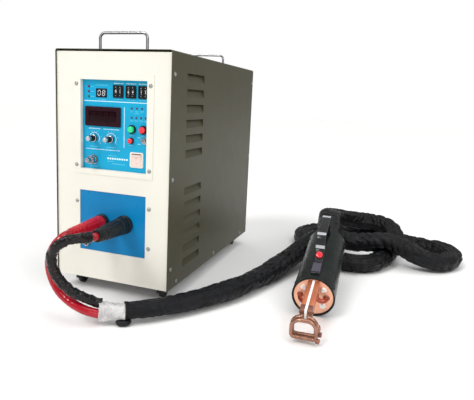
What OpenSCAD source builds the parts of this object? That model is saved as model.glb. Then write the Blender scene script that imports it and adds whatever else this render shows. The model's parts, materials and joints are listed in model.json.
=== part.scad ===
// Induction heating machine: a cabinet on castors, two water-cooled power
// leads in a fabric sleeve, and a hand-held work head with a copper coil.
// Millimetres, +Z up, floor at z = 0, the control panel looks towards -Y.

/* [Cabinet] */
// Width of the cabinet
cab_w = 290; // [288:1:310]
// Depth of the cabinet
cab_d = 560; // [540:1:640]
// Height of the cabinet's shell
cab_h = 520; // [515:1:600]
// Height of the shell's lower edge above the floor
foot_h = 36; // [36:1:44]
// Thickness of the cabinet's sheet steel
sheet = 1.5; // [1.2:0.1:2]
// Bend radius of the cover's top edges
bend_r = 5; // [4:0.5:8]

/* [Louvres] */
// Length of one louvre
louvre_l = 98; // [80:1:110]
// Height of one louvre
louvre_h = 18; // [14:1:22]
// Distance from louvre to louvre
louvre_pitch = 34; // [30:1:36]

/* [Top handles] */
// Distance between the legs of a top handle
handle_pitch = 120; // [100:1:140]
// Height of a top handle above the cover
handle_h = 43; // [36:1:55]
// Radius of the handle's rod
handle_r = 3.2; // [2.5:0.1:5]

/* [Castors] */
// Radius of a castor wheel
wheel_r = 14; // [13:0.5:14]
// Width of a castor wheel
wheel_w = 12; // [9:0.5:13]

/* [Leads and sleeve] */
// Diameter of a power lead
lead_d = 20; // [16:0.5:20]
// Diameter of the fabric sleeve
sleeve_d = 50; // [44:1:50]

/* [Work head] */
// Outer radius of the head's shell
head_r = 47; // [47:0.5:50]
// Length of the head's shell behind the face plate
head_l = 250; // [240:1:260]
// Tilt of the head as it lies, in degrees
head_tilt = 11; // [9:0.5:13]
// Radius of the copper tube of the coil
coil_r = 4; // [3:0.5:4.5]

/* [Hidden] */
$fn = 48;
ox = 320.9;
oy = 271.7;
z0 = foot_h;
zt = foot_h + cab_h;
pf = 3;                 // front panel's outer face
pf2 = pf + sheet;       // its inner face
pr = cab_d - 3;         // rear panel's outer face
cp = 11;                // control panel's outer face
// centres on the control panel, x from the cabinet's left side, z from its lower edge
led_col = [[80.5, 440], [80.5, 429], [80.5, 418]];
led_row_a = [[190, 396.5], [202.5, 396.5], [215, 396.5]];
led_row_b = [[190, 376.5], [201.5, 376.5], [213, 376.5], [224.5, 376.5]];
disp = [113.5, 426.5];
wheels = [156.5, 188, 219];
wheel_z = 431;
wheel_y = 18.8;
meter = [118, 375];
knob_a = [95.5, 326];
knob_b = [138.5, 326];
btn_start = [191.5, 351];
btn_stop = [219.5, 351];
btn_reset = [189.5, 326];
tog = [222.5, 327];
ctl = [94, 278];
rock = [204, 284.5];
win = [65, 257, 232, 455];      // control window, x0 z0 x1 z1
low = [62, 67, 232, 207];       // output window
ctl_screws = [[54.5, 445], [240, 445], [54.5, 264], [240, 264]];
out_screws = [[54.5, 180], [240.5, 180], [54.5, 90.5], [240.5, 90.5]];
sock_r = [121.5, 138];            // red output socket
sock_b = [179, 138];            // black output socket
pilot = [79.5, 83];
side_screws = [[15, 472], [15, 248], [15, 47], [553, 480], [553, 252], [553, 44], [46, 10.5], [275, 10.5], [500, 10.5]];
castors = [[35, 45], [255, 45], [35, 515], [255, 515]];
trail = 7;
fan = [145, 330];
water = [80, 210];
water_z = 39;
gland = [228, 92];

// cylinder along Y between two y values, at x and z
module yc(r, ya, yb, x = 0, z = 0, r2 = -1, fn = 48) {
    translate([x, ya, z]) rotate([-90, 0, 0]) cylinder(h = yb - ya, r1 = r, r2 = (r2 < 0 ? r : r2), $fn = fn);
}
module xc(r, xa, xb, y = 0, z = 0, fn = 48) {
    translate([xa, y, z]) rotate([0, 90, 0]) cylinder(h = xb - xa, r = r, $fn = fn);
}
module zc(r, za, zb, x = 0, y = 0, fn = 48) {
    translate([x, y, za]) cylinder(h = zb - za, r = r, $fn = fn);
}
// box given by its two corners
module bx(a, b) { translate(a) cube([b[0] - a[0], b[1] - a[1], b[2] - a[2]]); }
// ring turned about Y from a profile of [radius, y] points
module turned(pts, x, z, fn = 64) {
    translate([x, 0, z]) rotate([-90, 0, 0]) rotate_extrude($fn = fn) polygon(pts);
}
// plate with rounded corners in the XZ plane, centred on c, between two y values
module rplate(c, w, h, r, ya, yb) {
    translate([c[0], ya, c[1]]) rotate([90, 0, 0]) translate([0, 0, ya - yb]) union() {
        translate([-w / 2 + r, -h / 2, 0]) cube([w - 2 * r, h, yb - ya]);
        translate([-w / 2, -h / 2 + r, 0]) cube([w, h - 2 * r, yb - ya]);
        for (sx = [-1, 1], sz = [-1, 1]) translate([sx * (w / 2 - r), sz * (h / 2 - r), 0]) cylinder(h = yb - ya, r = r);
    }
}
function at(p) = [p[0], p[1] + z0];

module place() { translate([-ox, -oy, 0]) children(); }

// ---------- cabinet shell ----------
module base_pan() { color([0.42, 0.43, 0.40]) place() difference() {
    union() {
        bx([sheet, pf2, z0], [cab_w - sheet, pr - sheet, z0 + sheet]);
        bx([sheet, pf2, z0], [2 * sheet, pr - sheet, z0 + 18]);
        bx([cab_w - 2 * sheet, pf2, z0], [cab_w - sheet, pr - sheet, z0 + 18]);
        bx([sheet, pf2, z0], [cab_w - sheet, pf2 + sheet, z0 + 18]);
        bx([sheet, pr - 2 * sheet, z0], [cab_w - sheet, pr - sheet, z0 + 18]);
        for (c = castors) zc(9, z0, z0 + 18, c[0], c[1]);
    }
    for (c = castors) zc(4.05, z0 - 1, z0 + 19, c[0], c[1]);
    for (s = side_screws) if (s[1] < 20) {
        xc(1.6, 0, 4, s[0], s[1] + z0);
        xc(1.6, cab_w - 4, cab_w, s[0], s[1] + z0);
    }
} }

module louvre_cut(zl) {
    for (x = [-1, cab_w - sheet - 1]) bx([x, 74, zl - louvre_h], [x + sheet + 2, 74 + louvre_l, zl]);
}
module louvre_half(zl) {
    // pressed inwards from the lower edge, open along the top
    translate([0, 74 + louvre_l, 0]) rotate([90, 0, 0]) linear_extrude(louvre_l)
        polygon([[0, zl - louvre_h - 0.8], [0, zl - louvre_h], [7, zl], [7 + sheet, zl], [sheet, zl - louvre_h - 0.8]]);
    for (y = [74, 74 + louvre_l - sheet]) translate([0, y + sheet, 0]) rotate([90, 0, 0]) linear_extrude(sheet)
        polygon([[0, zl - louvre_h - 0.4], [0, zl + 0.4], [sheet, zl + 0.4], [7 + sheet, zl], [sheet, zl - louvre_h - 0.4]]);
}
function louvre_tops() = concat([for (i = [0:5]) z0 + 477.5 - i * louvre_pitch], [for (i = [0:5]) z0 + 222 - i * louvre_pitch]);
module wrap_cover() { color([0.40, 0.39, 0.31]) place() difference() {
    union() {
        difference() {
            union() {
                bx([0, 0, z0], [sheet, cab_d, zt - bend_r]);
                bx([cab_w - sheet, 0, z0], [cab_w, cab_d, zt - bend_r]);
                bx([bend_r, 0, zt - sheet], [cab_w - bend_r, cab_d, zt]);
                for (x = [0, 1]) intersection() {
                    difference() {
                        yc(bend_r, 0, cab_d, x ? cab_w - bend_r : bend_r, zt - bend_r);
                        yc(bend_r - sheet, -1, cab_d + 1, x ? cab_w - bend_r : bend_r, zt - bend_r);
                    }
                    bx([x ? cab_w - bend_r : 0, 0, zt - bend_r], [x ? cab_w : bend_r, cab_d, zt]);
                }
            }
            for (zl = louvre_tops()) louvre_cut(zl);
        }
        for (zl = louvre_tops()) {
            louvre_half(zl);
            translate([cab_w, 0, 0]) mirror([1, 0, 0]) louvre_half(zl);
        }
    }
    for (s = side_screws) { xc(1.8, -1, 2, s[0], s[1] + z0); xc(1.8, cab_w - 2, cab_w + 1, s[0], s[1] + z0); }
    for (y = [47, cab_d - 47], x = [-1, 1]) zc(2.6, zt - 3, zt + 1, cab_w / 2 + x * handle_pitch / 2, y);
} }

module front_panel() { color([0.93, 0.91, 0.86]) place() difference() {
    bx([sheet, pf, z0], [cab_w - sheet, pf2, zt - bend_r]);
    bx([62, 0, z0 + 254], [235, 9, z0 + 458]);
    bx([low[0], 0, z0 + low[1]], [low[2], 9, z0 + low[3]]);
    for (s = concat(ctl_screws, out_screws)) yc(2.1, 0, 9, s[0], s[1] + z0);
} }

module rear_panel() { color([0.93, 0.91, 0.86]) place() difference() {
    bx([sheet, pr - sheet, z0], [cab_w - sheet, pr, zt - bend_r]);
    translate([fan[0], pr + 1, fan[1] + z0]) rotate([90, 0, 0]) linear_extrude(sheet + 2) difference() {
        circle(r = 55);
        difference() { circle(r = 36); circle(r = 33); }
        circle(r = 15);
        for (a = [0:45:135]) rotate(a) square([112, 3.5], center = true);
    }
    for (x = [-52.5, 52.5], z = [-52.5, 52.5]) yc(2.2, pr - 5, pr + 1, fan[0] + x, fan[1] + z + z0);
    for (x = water) yc(6.1, pr - 5, pr + 1, x, water_z + z0);
    yc(12.6, pr - 5, pr + 1, gland[0], gland[1] + z0);
    // slots of the rear air outlet
    for (i = [0:5]) bx([60, pr - 5, z0 + 180 + i * 12], [230, pr + 1, z0 + 184 + i * 12]);
} }

module top_handles() { color([0.78, 0.79, 0.80]) place() for (y = [47, cab_d - 47]) translate([cab_w / 2, y, zt]) {
    hp = handle_pitch / 2;
    hz = handle_h - handle_r;
    rr = 12;
    difference() {
        union() {
            for (s = [-1, 1]) {
                translate([s * hp, 0, 0]) cylinder(h = hz - rr, r = handle_r);
                translate([s * hp, 0, 0]) cylinder(h = 2, r = 6.5);
                translate([s * (hp - rr), 0, hz - rr]) rotate([90, 0, 0]) rotate([0, 0, s > 0 ? 0 : 90])
                    rotate_extrude(angle = 90, $fn = 64) translate([rr, 0]) circle(r = handle_r, $fn = 32);
            }
            xc(handle_r, -hp + rr, hp - rr, 0, hz);
        }
        for (s = [-1, 1]) translate([s * hp, 0, -1]) cylinder(h = 10, r = 1.6);
    }
} }

module pan_head(r, h) { difference() { cylinder(h = h, r = r); translate([-r * 0.6, -0.4, h - 0.8]) cube([r * 1.2, 0.8, 1]); translate([-0.4, -r * 0.6, h - 0.8]) cube([0.8, r * 1.2, 1]); } }
module panel_screws() { color([0.75, 0.76, 0.76]) place() {
    for (s = ctl_screws) translate([s[0], 1.8, s[1] + z0]) rotate([90, 0, 0]) union() { pan_head(3.5, 2); translate([0, 0, -14]) cylinder(h = 14.1, r = 2); }
    for (s = out_screws) translate([s[0], pf, s[1] + z0]) rotate([90, 0, 0]) union() { pan_head(3.5, 2); translate([0, 0, -8]) cylinder(h = 8.1, r = 2); }
    for (s = side_screws, m = [0, 1]) translate([m ? cab_w : 0, s[0], s[1] + z0]) rotate([0, m ? 90 : -90, 0]) union() { pan_head(3.5, 2.2); translate([0, 0, -4.5]) cylinder(h = 4.6, r = 1.5); }
} }

// ---------- castors ----------
module fork(c) { color([0.12, 0.12, 0.12]) place() translate([c[0], c[1], 0]) {
    zb = z0 - 0.4;
    difference() {
        union() {
            zc(12.5, zb - 4, zb, 0, 0);
            zc(4, zb - 4, z0 + 17, 0, 0);
            // hood over the wheel, on the trailing axle
            intersection() {
                xc(wheel_r + 4.4, -wheel_w / 2 - 2.2, wheel_w / 2 + 2.2, trail, wheel_r);
                bx([-20, -30, wheel_r + 1], [20, 40, zb]);
            }
            for (s = [-1, 1]) translate([s * (wheel_w / 2 + 1.4) - 0.8, trail - 6, wheel_r - 5]) cube([1.6, 12, 12]);
        }
        xc(wheel_r + 1, -wheel_w / 2 - 0.6, wheel_w / 2 + 0.6, trail, wheel_r);
    }
    xc(2, -wheel_w / 2 - 2.2, wheel_w / 2 + 2.2, trail, wheel_r);
} }
module wheel(c) { color([0.16, 0.16, 0.16]) place() translate([c[0], c[1] + trail, wheel_r]) rotate([0, 90, 0]) rotate_extrude($fn = 64)
    polygon([[2.05, -wheel_w / 2], [8, -wheel_w / 2], [8.6, -wheel_w / 2 + 1.4], [10.4, -wheel_w / 2 + 1.4], [11, -wheel_w / 2], [wheel_r - 1.5, -wheel_w / 2], [wheel_r, -wheel_w / 2 + 1.5],
        [wheel_r, wheel_w / 2 - 1.5], [wheel_r - 1.5, wheel_w / 2], [11, wheel_w / 2], [10.4, wheel_w / 2 - 1.4], [8.6, wheel_w / 2 - 1.4], [8, wheel_w / 2], [2.05, wheel_w / 2]]);
}
module castor_fork_fl() { fork(castors[0]); }
module castor_fork_fr() { fork(castors[1]); }
module castor_fork_rl() { fork(castors[2]); }
module castor_fork_rr() { fork(castors[3]); }
module castor_wheel_fl() { wheel(castors[0]); }
module castor_wheel_fr() { wheel(castors[1]); }
module castor_wheel_rl() { wheel(castors[2]); }
module castor_wheel_rr() { wheel(castors[3]); }

// ---------- control panel and what is on it ----------
module control_bezel() { color([0.93, 0.91, 0.86]) place() difference() {
    union() {
        bx([48, 1.8, z0 + 245], [248, pf, z0 + 467]);
        bx([win[0] - 1.5, pf - 0.5, z0 + win[1] - 1.5], [win[2] + 1.5, 10.8, z0 + win[3] + 1.5]);
    }
    bx([win[0], 0, z0 + win[1]], [win[2], 12, z0 + win[3]]);
    for (s = ctl_screws) yc(2.1, 0, 9, s[0], s[1] + z0);
} }
module control_panel() { color([0.0, 0.62, 0.80]) place() difference() {
    union() {
        bx([50, cp, z0 + 247], [246, cp + 2, z0 + 465]);
        for (s = ctl_screws) yc(5, pf2, cp + 2, s[0], s[1] + z0);
    }
    for (s = ctl_screws) yc(2.1, 0, 20, s[0], s[1] + z0);
    for (s = led_col) yc(2.6, 8, 20, s[0], s[1] + z0);
    for (s = concat(led_row_a, led_row_b)) yc(2.1, 8, 20, s[0], s[1] + z0);
    bx([disp[0] - 13.7, 8, z0 + disp[1] - 9.7], [disp[0] + 13.7, 20, z0 + disp[1] + 9.7]);
    for (x = wheels) bx([x - 11.7, 8, z0 + wheel_z - 12.7], [x + 11.7, 20, z0 + wheel_z + 12.7]);
    bx([meter[0] - 42.2, 8, z0 + meter[1] - 19.2], [meter[0] + 42.2, 20, z0 + meter[1] + 19.2]);
    for (s = [knob_a, knob_b]) yc(4.6, 8, 20, s[0], s[1] + z0);
    for (s = [btn_start, btn_stop]) yc(8.1, 8, 20, s[0], s[1] + z0);
    yc(6.1, 8, 20, btn_reset[0], btn_reset[1] + z0);
    yc(3.8, 8, 20, tog[0], tog[1] + z0);
    yc(8.1, 8, 20, ctl[0], ctl[1] + z0);
    bx([rock[0] - 14.2, 8, z0 + rock[1] - 15.2], [rock[0] + 14.2, 20, z0 + rock[1] + 15.2]);
} }
module meter_housing() { color([0.08, 0.05, 0.06]) place() difference() {
    union() {
        bx([meter[0] - 45, 7.5, z0 + meter[1] - 21.5], [meter[0] + 45, cp, z0 + meter[1] + 21.5]);
        bx([meter[0] - 42, cp, z0 + meter[1] - 19], [meter[0] + 42, 48, z0 + meter[1] + 19]);
    }
    bx([meter[0] - 36, 6, z0 + meter[1] - 12], [meter[0] + 36, 9, z0 + meter[1] + 12]);
} }
module display_board() { color([0.10, 0.30, 0.16]) place() {
    union() {
        bx([72, 17, z0 + 408], [134, 18.6, z0 + 449]);
        bx([disp[0] - 13.5, 9.6, z0 + disp[1] - 9.5], [disp[0] + 13.5, 17, z0 + disp[1] + 9.5]);
        for (s = led_col) { yc(2.5, 10.2, 17, s[0], s[1] + z0); translate([s[0], 10.2, s[1] + z0]) sphere(r = 2.5, $fn = 32); }
        for (x = [75, 131], z = [411.5, 446]) yc(2, cp + 2, 17, x, z + z0);
    }
    union() {
        bx([183, 17, z0 + 370], [231, 18.6, z0 + 403]);
        for (s = concat(led_row_a, led_row_b)) { yc(2, 10.4, 17, s[0], s[1] + z0); translate([s[0], 10.4, s[1] + z0]) sphere(r = 2, $fn = 32); }
        for (x = [185.5, 228.5]) yc(1.8, cp + 2, 17, x, 386 + z0);
    }
} }
module pushwheel_housings() { color([0.06, 0.06, 0.06]) place() for (x = wheels) {
    difference() {
        union() {
            bx([x - 12.5, 8.5, z0 + wheel_z - 13.5], [x + 12.5, cp, z0 + wheel_z + 13.5]);
            bx([x - 11.5, cp, z0 + wheel_z - 12.5], [x + 11.5, 36, z0 + wheel_z + 12.5]);
        }
        for (s = [-1, 1]) xc(11.6, x + s * 5.2 - 4.3, x + s * 5.2 + 4.3, wheel_y, z0 + wheel_z);
    }
    xc(1.5, x - 10.5, x + 10.5, wheel_y, z0 + wheel_z);
} }
module digit_wheel(i, s) { color([0.10, 0.10, 0.10]) place() translate([wheels[i] + s * 5.2, wheel_y, z0 + wheel_z]) rotate([0, 90, 0]) difference() {
    union() {
        cylinder(h = 8, r = 11, $fn = 10, center = true);
    }
    cylinder(h = 10, r = 1.56, center = true);
    for (a = [0:36:324]) rotate([0, 0, a]) translate([11.1, 0, 0]) cylinder(h = 10, r = 0.7, center = true, $fn = 24);
} }
module digit_wheel_1() { digit_wheel(0, -1); }
module digit_wheel_2() { digit_wheel(0, 1); }
module digit_wheel_3() { digit_wheel(1, -1); }
module digit_wheel_4() { digit_wheel(1, 1); }
module digit_wheel_5() { digit_wheel(2, -1); }
module digit_wheel_6() { digit_wheel(2, 1); }

module switch_bodies() { color([0.07, 0.07, 0.07]) place() {
    for (s = [knob_a, knob_b]) difference() {
        union() { yc(4.5, cp - 1, cp + 2, s[0], s[1] + z0); yc(12, cp + 2, 31, s[0], s[1] + z0); }
        yc(3.05, cp - 2, 29, s[0], s[1] + z0);
    }
    for (s = [btn_start, btn_stop]) difference() {
        union() { yc(9.5, 7.5, cp, s[0], s[1] + z0); yc(8, cp, 34, s[0], s[1] + z0); }
        yc(7, 6, 21, s[0], s[1] + z0);
    }
    difference() {
        union() { yc(7, 9, cp, btn_reset[0], btn_reset[1] + z0); yc(6, cp, 28, btn_reset[0], btn_reset[1] + z0); }
        yc(4.55, 8, 19, btn_reset[0], btn_reset[1] + z0);
    }
} }
module knob(s) { color([0.13, 0.12, 0.12]) place() difference() {
    union() {
        turned([[0, -15], [4.6, -15], [5.4, -14.2], [5.4, -7], [6.6, -7], [6.8, -6.4], [6.8, 4.2], [7.4, 4.6], [7.4, 6], [8, 6.4], [8, 9.4], [0, 9.4]], s[0], s[1] + z0);
        yc(3, 9, 28, s[0], s[1] + z0);
    }
    bx([s[0] - 0.5, -7, s[1] + z0 + 6], [s[0] + 0.5, 9, s[1] + z0 + 9]);
} }
module power_knob() { knob(knob_a); }
module time_knob() { knob(knob_b); }
module push_cap(s, c) { color(c) place() turned([[0, 1], [5.6, 1], [6.4, 1.4], [6.93, 2.4], [6.93, 17], [0, 17]], s[0], s[1] + z0); }
module start_button() { push_cap(btn_start, [0.05, 0.75, 0.40]); }
module stop_button() { push_cap(btn_stop, [0.85, 0.10, 0.12]); }
module reset_button() { color([0.75, 0.05, 0.12]) place() turned([[0, 2], [3.6, 2.2], [5.3, 3.2], [5.8, 4.6], [5.8, 6.6], [4.5, 6.6], [4.5, 16], [0, 16]], btn_reset[0], btn_reset[1] + z0); }

module toggle_switch() { color([0.80, 0.80, 0.80]) place() translate([tog[0], 0, tog[1] + z0]) {
    difference() {
        union() {
            yc(3.7, 4.5, cp + 2, 0, 0);
            yc(6.2, 9.2, cp, 0, 0, fn = 6);
            bx([-6.5, cp + 2, -7], [6.5, 28, 7]);
        }
        yc(3.1, 3, 16, 0, 0);
    }
    xc(0.6, -3.4, 3.4, 12, 0, 24);
} }
module toggle_lever() { color([0.85, 0.85, 0.86]) place() translate([tog[0], 12, tog[1] + z0]) rotate([-11, 0, 0]) difference() {
    union() {
        sphere(r = 2.2, $fn = 32);
        turned([[0, -19], [1.2, -18.7], [1.9, -17.6], [1.9, -15], [1.1, -5], [1.1, 0], [0, 0]], 0, 0, 32);
    }
    xc(0.66, -3, 3, 0, 0, 24);
} }
module rocker_bezel() { color([0.90, 0.89, 0.86]) place() {
    difference() {
        union() {
            rplate(at(rock), 33.5, 34, 4.5, 9, cp);
            bx([rock[0] - 14, cp, z0 + rock[1] - 15], [rock[0] + 14, 32, z0 + rock[1] + 15]);
        }
        bx([rock[0] - 12.2, 5, z0 + rock[1] - 13.8], [rock[0] + 12.2, 29, z0 + rock[1] + 13.8]);
    }
    xc(1.5, rock[0] - 13, rock[0] + 13, 15, z0 + rock[1]);
} }
module rocker() { color([0.94, 0.90, 0.88]) place() translate([rock[0], 15, rock[1] + z0]) rotate([7, 0, 0]) difference() {
    translate([-11.9, 0, 0]) rotate([90, 0, 90]) linear_extrude(23.8) polygon([[-8.2, -12.6], [-6.4, 0], [-8.2, 12.6], [-2, 12.2], [3, 6], [3, -6], [-2, -12.2]]);
    xc(1.56, -13, 13, 0, 0);
} }
module control_socket() { color([0.80, 0.78, 0.76]) place() turned([[0, -17], [4.6, -17], [5.6, -16], [6.2, -6], [7.4, -5], [9.2, -4.4], [9.2, 4.4], [8.4, 5], [7.6, 5.2], [7.6, 8.8], [10.6, 8.8], [10.6, cp], [8, cp], [8, 28], [0, 28]], ctl[0], ctl[1] + z0);
}

// ---------- output side ----------
module output_panel() { color([0.05, 0.48, 0.76]) place() difference() {
    bx([48, pf2, z0 + 53], [248, pf2 + 3, z0 + 218]);
    for (s = out_screws) yc(2.1, 0, 9, s[0], s[1] + z0);
    for (s = [sock_r, sock_b]) yc(14.1, 0, 12, s[0], s[1] + z0);
    yc(6.1, 0, 12, pilot[0], pilot[1] + z0);
} }
module output_sockets() { color([0.07, 0.07, 0.08]) place() {
    for (q = [[sock_r, 17.5], [sock_b, 21]]) difference() {
        turned([[0, -5.5], [q[1] - 1, -5.5], [q[1], -4.5], [q[1], pf2], [14, pf2], [14, 32], [0, 32]], q[0][0], q[0][1] + z0);
        yc(10, -7, 27, q[0][0], q[0][1] + z0);
    }
    for (q = [sock_r, sock_b]) difference() {
        yc(20, pf2 + 3, 14, q[0], q[1] + z0, fn = 6);
        yc(14, 0, 20, q[0], q[1] + z0);
    }
    difference() {
        turned([[0, 0.5], [7.2, 0.5], [8, 1.4], [8, pf2], [6, pf2], [6, 22], [0, 22]], pilot[0], pilot[1] + z0);
        yc(5, -1, 3, pilot[0], pilot[1] + z0);
        yc(2, 0, 12, pilot[0], pilot[1] + z0);
    }
} }
module red_plug() { color([0.80, 0.07, 0.10]) place() turned([[0, 24], [9.8, 24], [9.95, 23.5], [9.95, -5.6], [15.2, -5.6], [16.4, -7], [16.4, -16], [15.6, -18], [15.2, -40], [13.6, -66], [12.6, -78],
    [11.6, -79], [11.6, -82], [12.2, -83], [12, -87], [11, -88], [11, -91], [11.7, -92], [11.4, -96], [10.6, -97], [10.6, -100], [11.2, -101], [11, -108], [10.4, -110], [0, -110]], sock_r[0], sock_r[1] + z0); }
module black_plug() { color([0.09, 0.10, 0.10]) place() turned([[0, 24], [9.8, 24], [9.95, 23.5], [9.95, -5.6], [18.6, -5.6], [19.4, -7], [19.4, -24], [18, -26], [18, -30], [18.8, -32], [17.4, -60], [15.4, -80],
    [14.2, -81], [14.2, -84], [14.8, -85], [14.2, -93], [13.2, -94], [13.2, -97], [13.6, -98], [13, -102], [0, -102]], sock_b[0], sock_b[1] + z0); }

// ---------- swept leads and sleeve ----------
function unit(v) = v / norm(v);
// point on a smooth curve drawn through and near the route points q, segment i, parameter t
function ext(p) = concat([2 * p[0] - p[1]], p, [2 * p[len(p) - 1] - p[len(p) - 2]]);
function spl(q, i, t) = (pow(1 - t, 3) * q[i] + (3 * t * t * t - 6 * t * t + 4) * q[i + 1] + (-3 * t * t * t + 3 * t * t + 3 * t + 1) * q[i + 2] + t * t * t * q[i + 3]) / 6;
function curve(p, n) = let (q = ext(p)) concat([for (i = [0:len(p) - 2]) for (k = [0:n - 1]) spl(q, i, k / n)], [p[len(p) - 1]]);
function tangent(c, i, t0, t1) = i == 0 ? unit(t0) : i == len(c) - 1 ? unit(t1) : unit(c[i + 1] - c[i - 1]);
function ring(c, t, ref, r, m) = let (a = unit(cross(t, ref)), b = cross(a, t)) [for (k = [0:m - 1]) c + r * (cos(360 * k / m) * a + sin(360 * k / m) * b)];
module tube(p, n, r, m, ref, t0, t1) {
    c = curve(p, n);
    L = len(c);
    pts = [for (i = [0:L - 1]) each ring(c[i], tangent(c, i, t0, t1), ref, r, m)];
    polyhedron(points = pts, faces = concat(
        [[for (k = [0:m - 1]) k]],
        [for (i = [0:L - 2]) for (k = [0:m - 1]) [i * m + k, i * m + m + k, i * m + m + (k + 1) % m, i * m + (k + 1) % m]],
        [[for (k = [m - 1:-1:0]) (L - 1) * m + k]]));
}
zs = sock_r[1] + z0;
red_route = [[121.5, -110.2, zs], [121.5, -121, zs], [119, -132, zs - 4], [110, -139, zs - 16], [100, -141, zs - 34], [95, -140, zs - 55], [96, -139, zs - 73], [102, -139, 84], [112, -140, 69], [125, -142, 58], [143, -144, 48], [163, -145, 40], [186, -141, 31], [209, -130.4, 25]];
black_route = [[179, -102.2, zs], [179, -114, zs + 0.5], [176.5, -128, zs + 3], [171, -141, zs + 6], [162, -151, zs + 6], [149, -159, zs + 2], [135, -164, zs - 8], [124, -165, zs - 22], [119.5, -164, zs - 37], [121, -163, zs - 53], [128, -162, zs - 68], [139, -160, zs - 83], [153, -157, 78], [167, -150, 67], [180, -139, 58], [191, -129, 49], [203, -119.6, 42.5]];
sleeve_route = [[247.4, -102, 27.6], [290, -68, 26], [350, 6, 25.5], [408, 106, 25.5], [444, 212, 25.5], [470, 318, 26], [502, 420, 50], [546, 490, 78], [604, 518, 70], [664, 528, 60],
    [722, 534, 78], [778, 528, 70], [830, 522, 44], [880, 538, 25.5], [914, 576, 25.5], [926, 628, 25.5], [912, 680, 25.5], [872, 714, 25.5], [810, 729, 25.5], [730, 733, 30],
    [650, 741, 33], [574, 752, 28], [514, 742, 25.5], [474, 706, 25.5], [462, 652, 25.5], [484, 602, 25.5], [520, 558, 25.5], [544, 506, 25.5], [572, 458, 25.5], [616, 428, 25.5],
    [664, 428, 25.5], [704, 454, 25.5], [724, 500, 25.5], [734, 550, 26], [750, 602, 36], [758, 652, 62], [740, 698, 78], [702, 724, 84], [652, 726, 86], [606, 698, 95],
    [574, 652, 106], [559, 600, 117], [560, 546, 126], [569, 488, 122], [579, 424, 111]];
module power_leads() { color([0.70, 0.06, 0.10]) place() {
    tube(red_route, 2, lead_d / 2, 12, [0.6, -0.6, 0.5], [0, -1, 0], [0.875, 0.485, 0]);
    tube(black_route, 2, lead_d / 2, 12, [0.6, -0.6, 0.5], [0, -1, 0], [0.875, 0.485, 0]);
} }
module tape_joint() { color([0.90, 0.90, 0.88]) place() union() {
    translate([206.5, -124.7, 28]) rotate([0, 0, 29]) xc(20, 0, 46, 0, 0);
    // rubber foot strapped under its right-hand end
    zc(12, 0, 14, 238, -113);
} }
head_dir = [-sin(2.3) * cos(head_tilt), cos(2.3) * cos(head_tilt), sin(head_tilt)];
head_at = [597, 91, 46.9];
module hose_sleeve() { color([0.05, 0.05, 0.06]) place()
    tube(concat(sleeve_route, [head_at + (head_l + 22.4) * head_dir]), 2, sleeve_d / 2, 12, [0, 0, 1], [0.875, 0.485, 0], -head_dir);
}

// ---------- work head, drawn with its face at y = 0 and its axis along +Y ----------
module head() { place() translate(head_at) rotate([head_tilt, 0, 2.3]) children(); }
hi = head_r - 2.5;
module head_shell() { color([0.06, 0.06, 0.06]) head() difference() {
    yc(head_r, -3, head_l, fn = 96);
    yc(hi, -4, head_l + 1, fn = 96);
} }
bolts = [[-21, 20], [21, 20], [-21, -20], [21, -20]];
module head_front_plate() { color([0.90, 0.55, 0.42]) head() difference() {
    yc(hi, 0, 8, fn = 96);
    for (s = [-1, 1]) bx([s > 0 ? 2.5 : -12, -1, 17], [s > 0 ? 12 : -2.5, 9, 40]);
    for (b = bolts) yc(3.1, -1, 9, b[0], b[1]);
    for (s = [-1, 1]) yc(5.1, -1, 9, s * 28, 1);
} }
module head_rear_cap() { color([0.07, 0.07, 0.07]) head() difference() {
    union() {
        yc(hi, head_l - 10, head_l, fn = 96);
        turned([[0, head_l], [head_r, head_l], [head_r, head_l + 3], [head_r - 3, head_l + 6], [26, head_l + 8], [25, head_l + 9], [25, head_l + 22], [0, head_l + 22]], 0, 0, 96);
    }
    yc(15, head_l - 11, head_l + 23);
} }
btn_c = [0, 75.5, 61];
btn_a = 38.5;
module head_handle() { color([0.05, 0.05, 0.05]) head() difference() {
    translate([-10, 0, 0]) rotate([90, 0, 90]) linear_extrude(20) difference() {
        polygon([[14, 44], [14, 50], [17, 52], [58, 52], [62, 50.5], [88, 71.2], [93, 94], [101, 102], [206, 102], [214, 95], [221, 54], [224, 52], [240, 52], [243, 49], [243, 44]]);
        polygon([[104, 44], [106, 60], [109, 85], [113, 89.5], [198, 89.5], [203, 85], [208, 44]]);
    }
    yc(head_r, 0, head_l + 5, fn = 96);
    translate(btn_c) rotate([btn_a, 0, 0]) translate([0, 0, -13]) cylinder(h = 20, r = 8.05);
} }
module trigger_button() { color([0.90, 0.08, 0.15]) head() translate(btn_c) rotate([btn_a, 0, 0]) rotate_extrude($fn = 64)
    polygon([[0, -7.8], [7.98, -7.8], [7.98, 3.6], [7.2, 4.8], [6, 5.2], [0, 5.4]]);
}
module head_busbars() { color([0.72, 0.30, 0.20]) head() for (s = [-1, 1]) union() {
    bx([s > 0 ? 2.5 : -12, -112, 17], [s > 0 ? 12 : -2.5, 42, 40]);
    // cooling tube from the face plate to the underside of the bar
    yc(5, -16, 30, s * 28, 1);
    translate([s * 28, -16, 1]) sphere(r = 5, $fn = 32);
    xc(5, s > 0 ? 8 : -28, s > 0 ? 28 : -8, -16, 1);
    translate([s * 8, -16, 1]) sphere(r = 5, $fn = 32);
    zc(5, 1, 20, s * 8, -16);
} }
module bar_insulator() { color([0.93, 0.93, 0.92]) head() bx([-2.5, -114, 14], [2.5, 0, 41.5]); }
module face_bolts() { color([0.80, 0.80, 0.78]) head() for (b = bolts) union() {
    yc(5.8, -4.4, 0, b[0], b[1], fn = 6);
    yc(3, -0.5, 16, b[0], b[1]);
} }
module head_transformer() { color([0.25, 0.25, 0.27]) head() difference() {
    union() {
        bx([-27, 42, -27], [27, 190, 27]);
        yc(37, 62, 168);
    }
    yc(9, 150, 191);
} }
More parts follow.
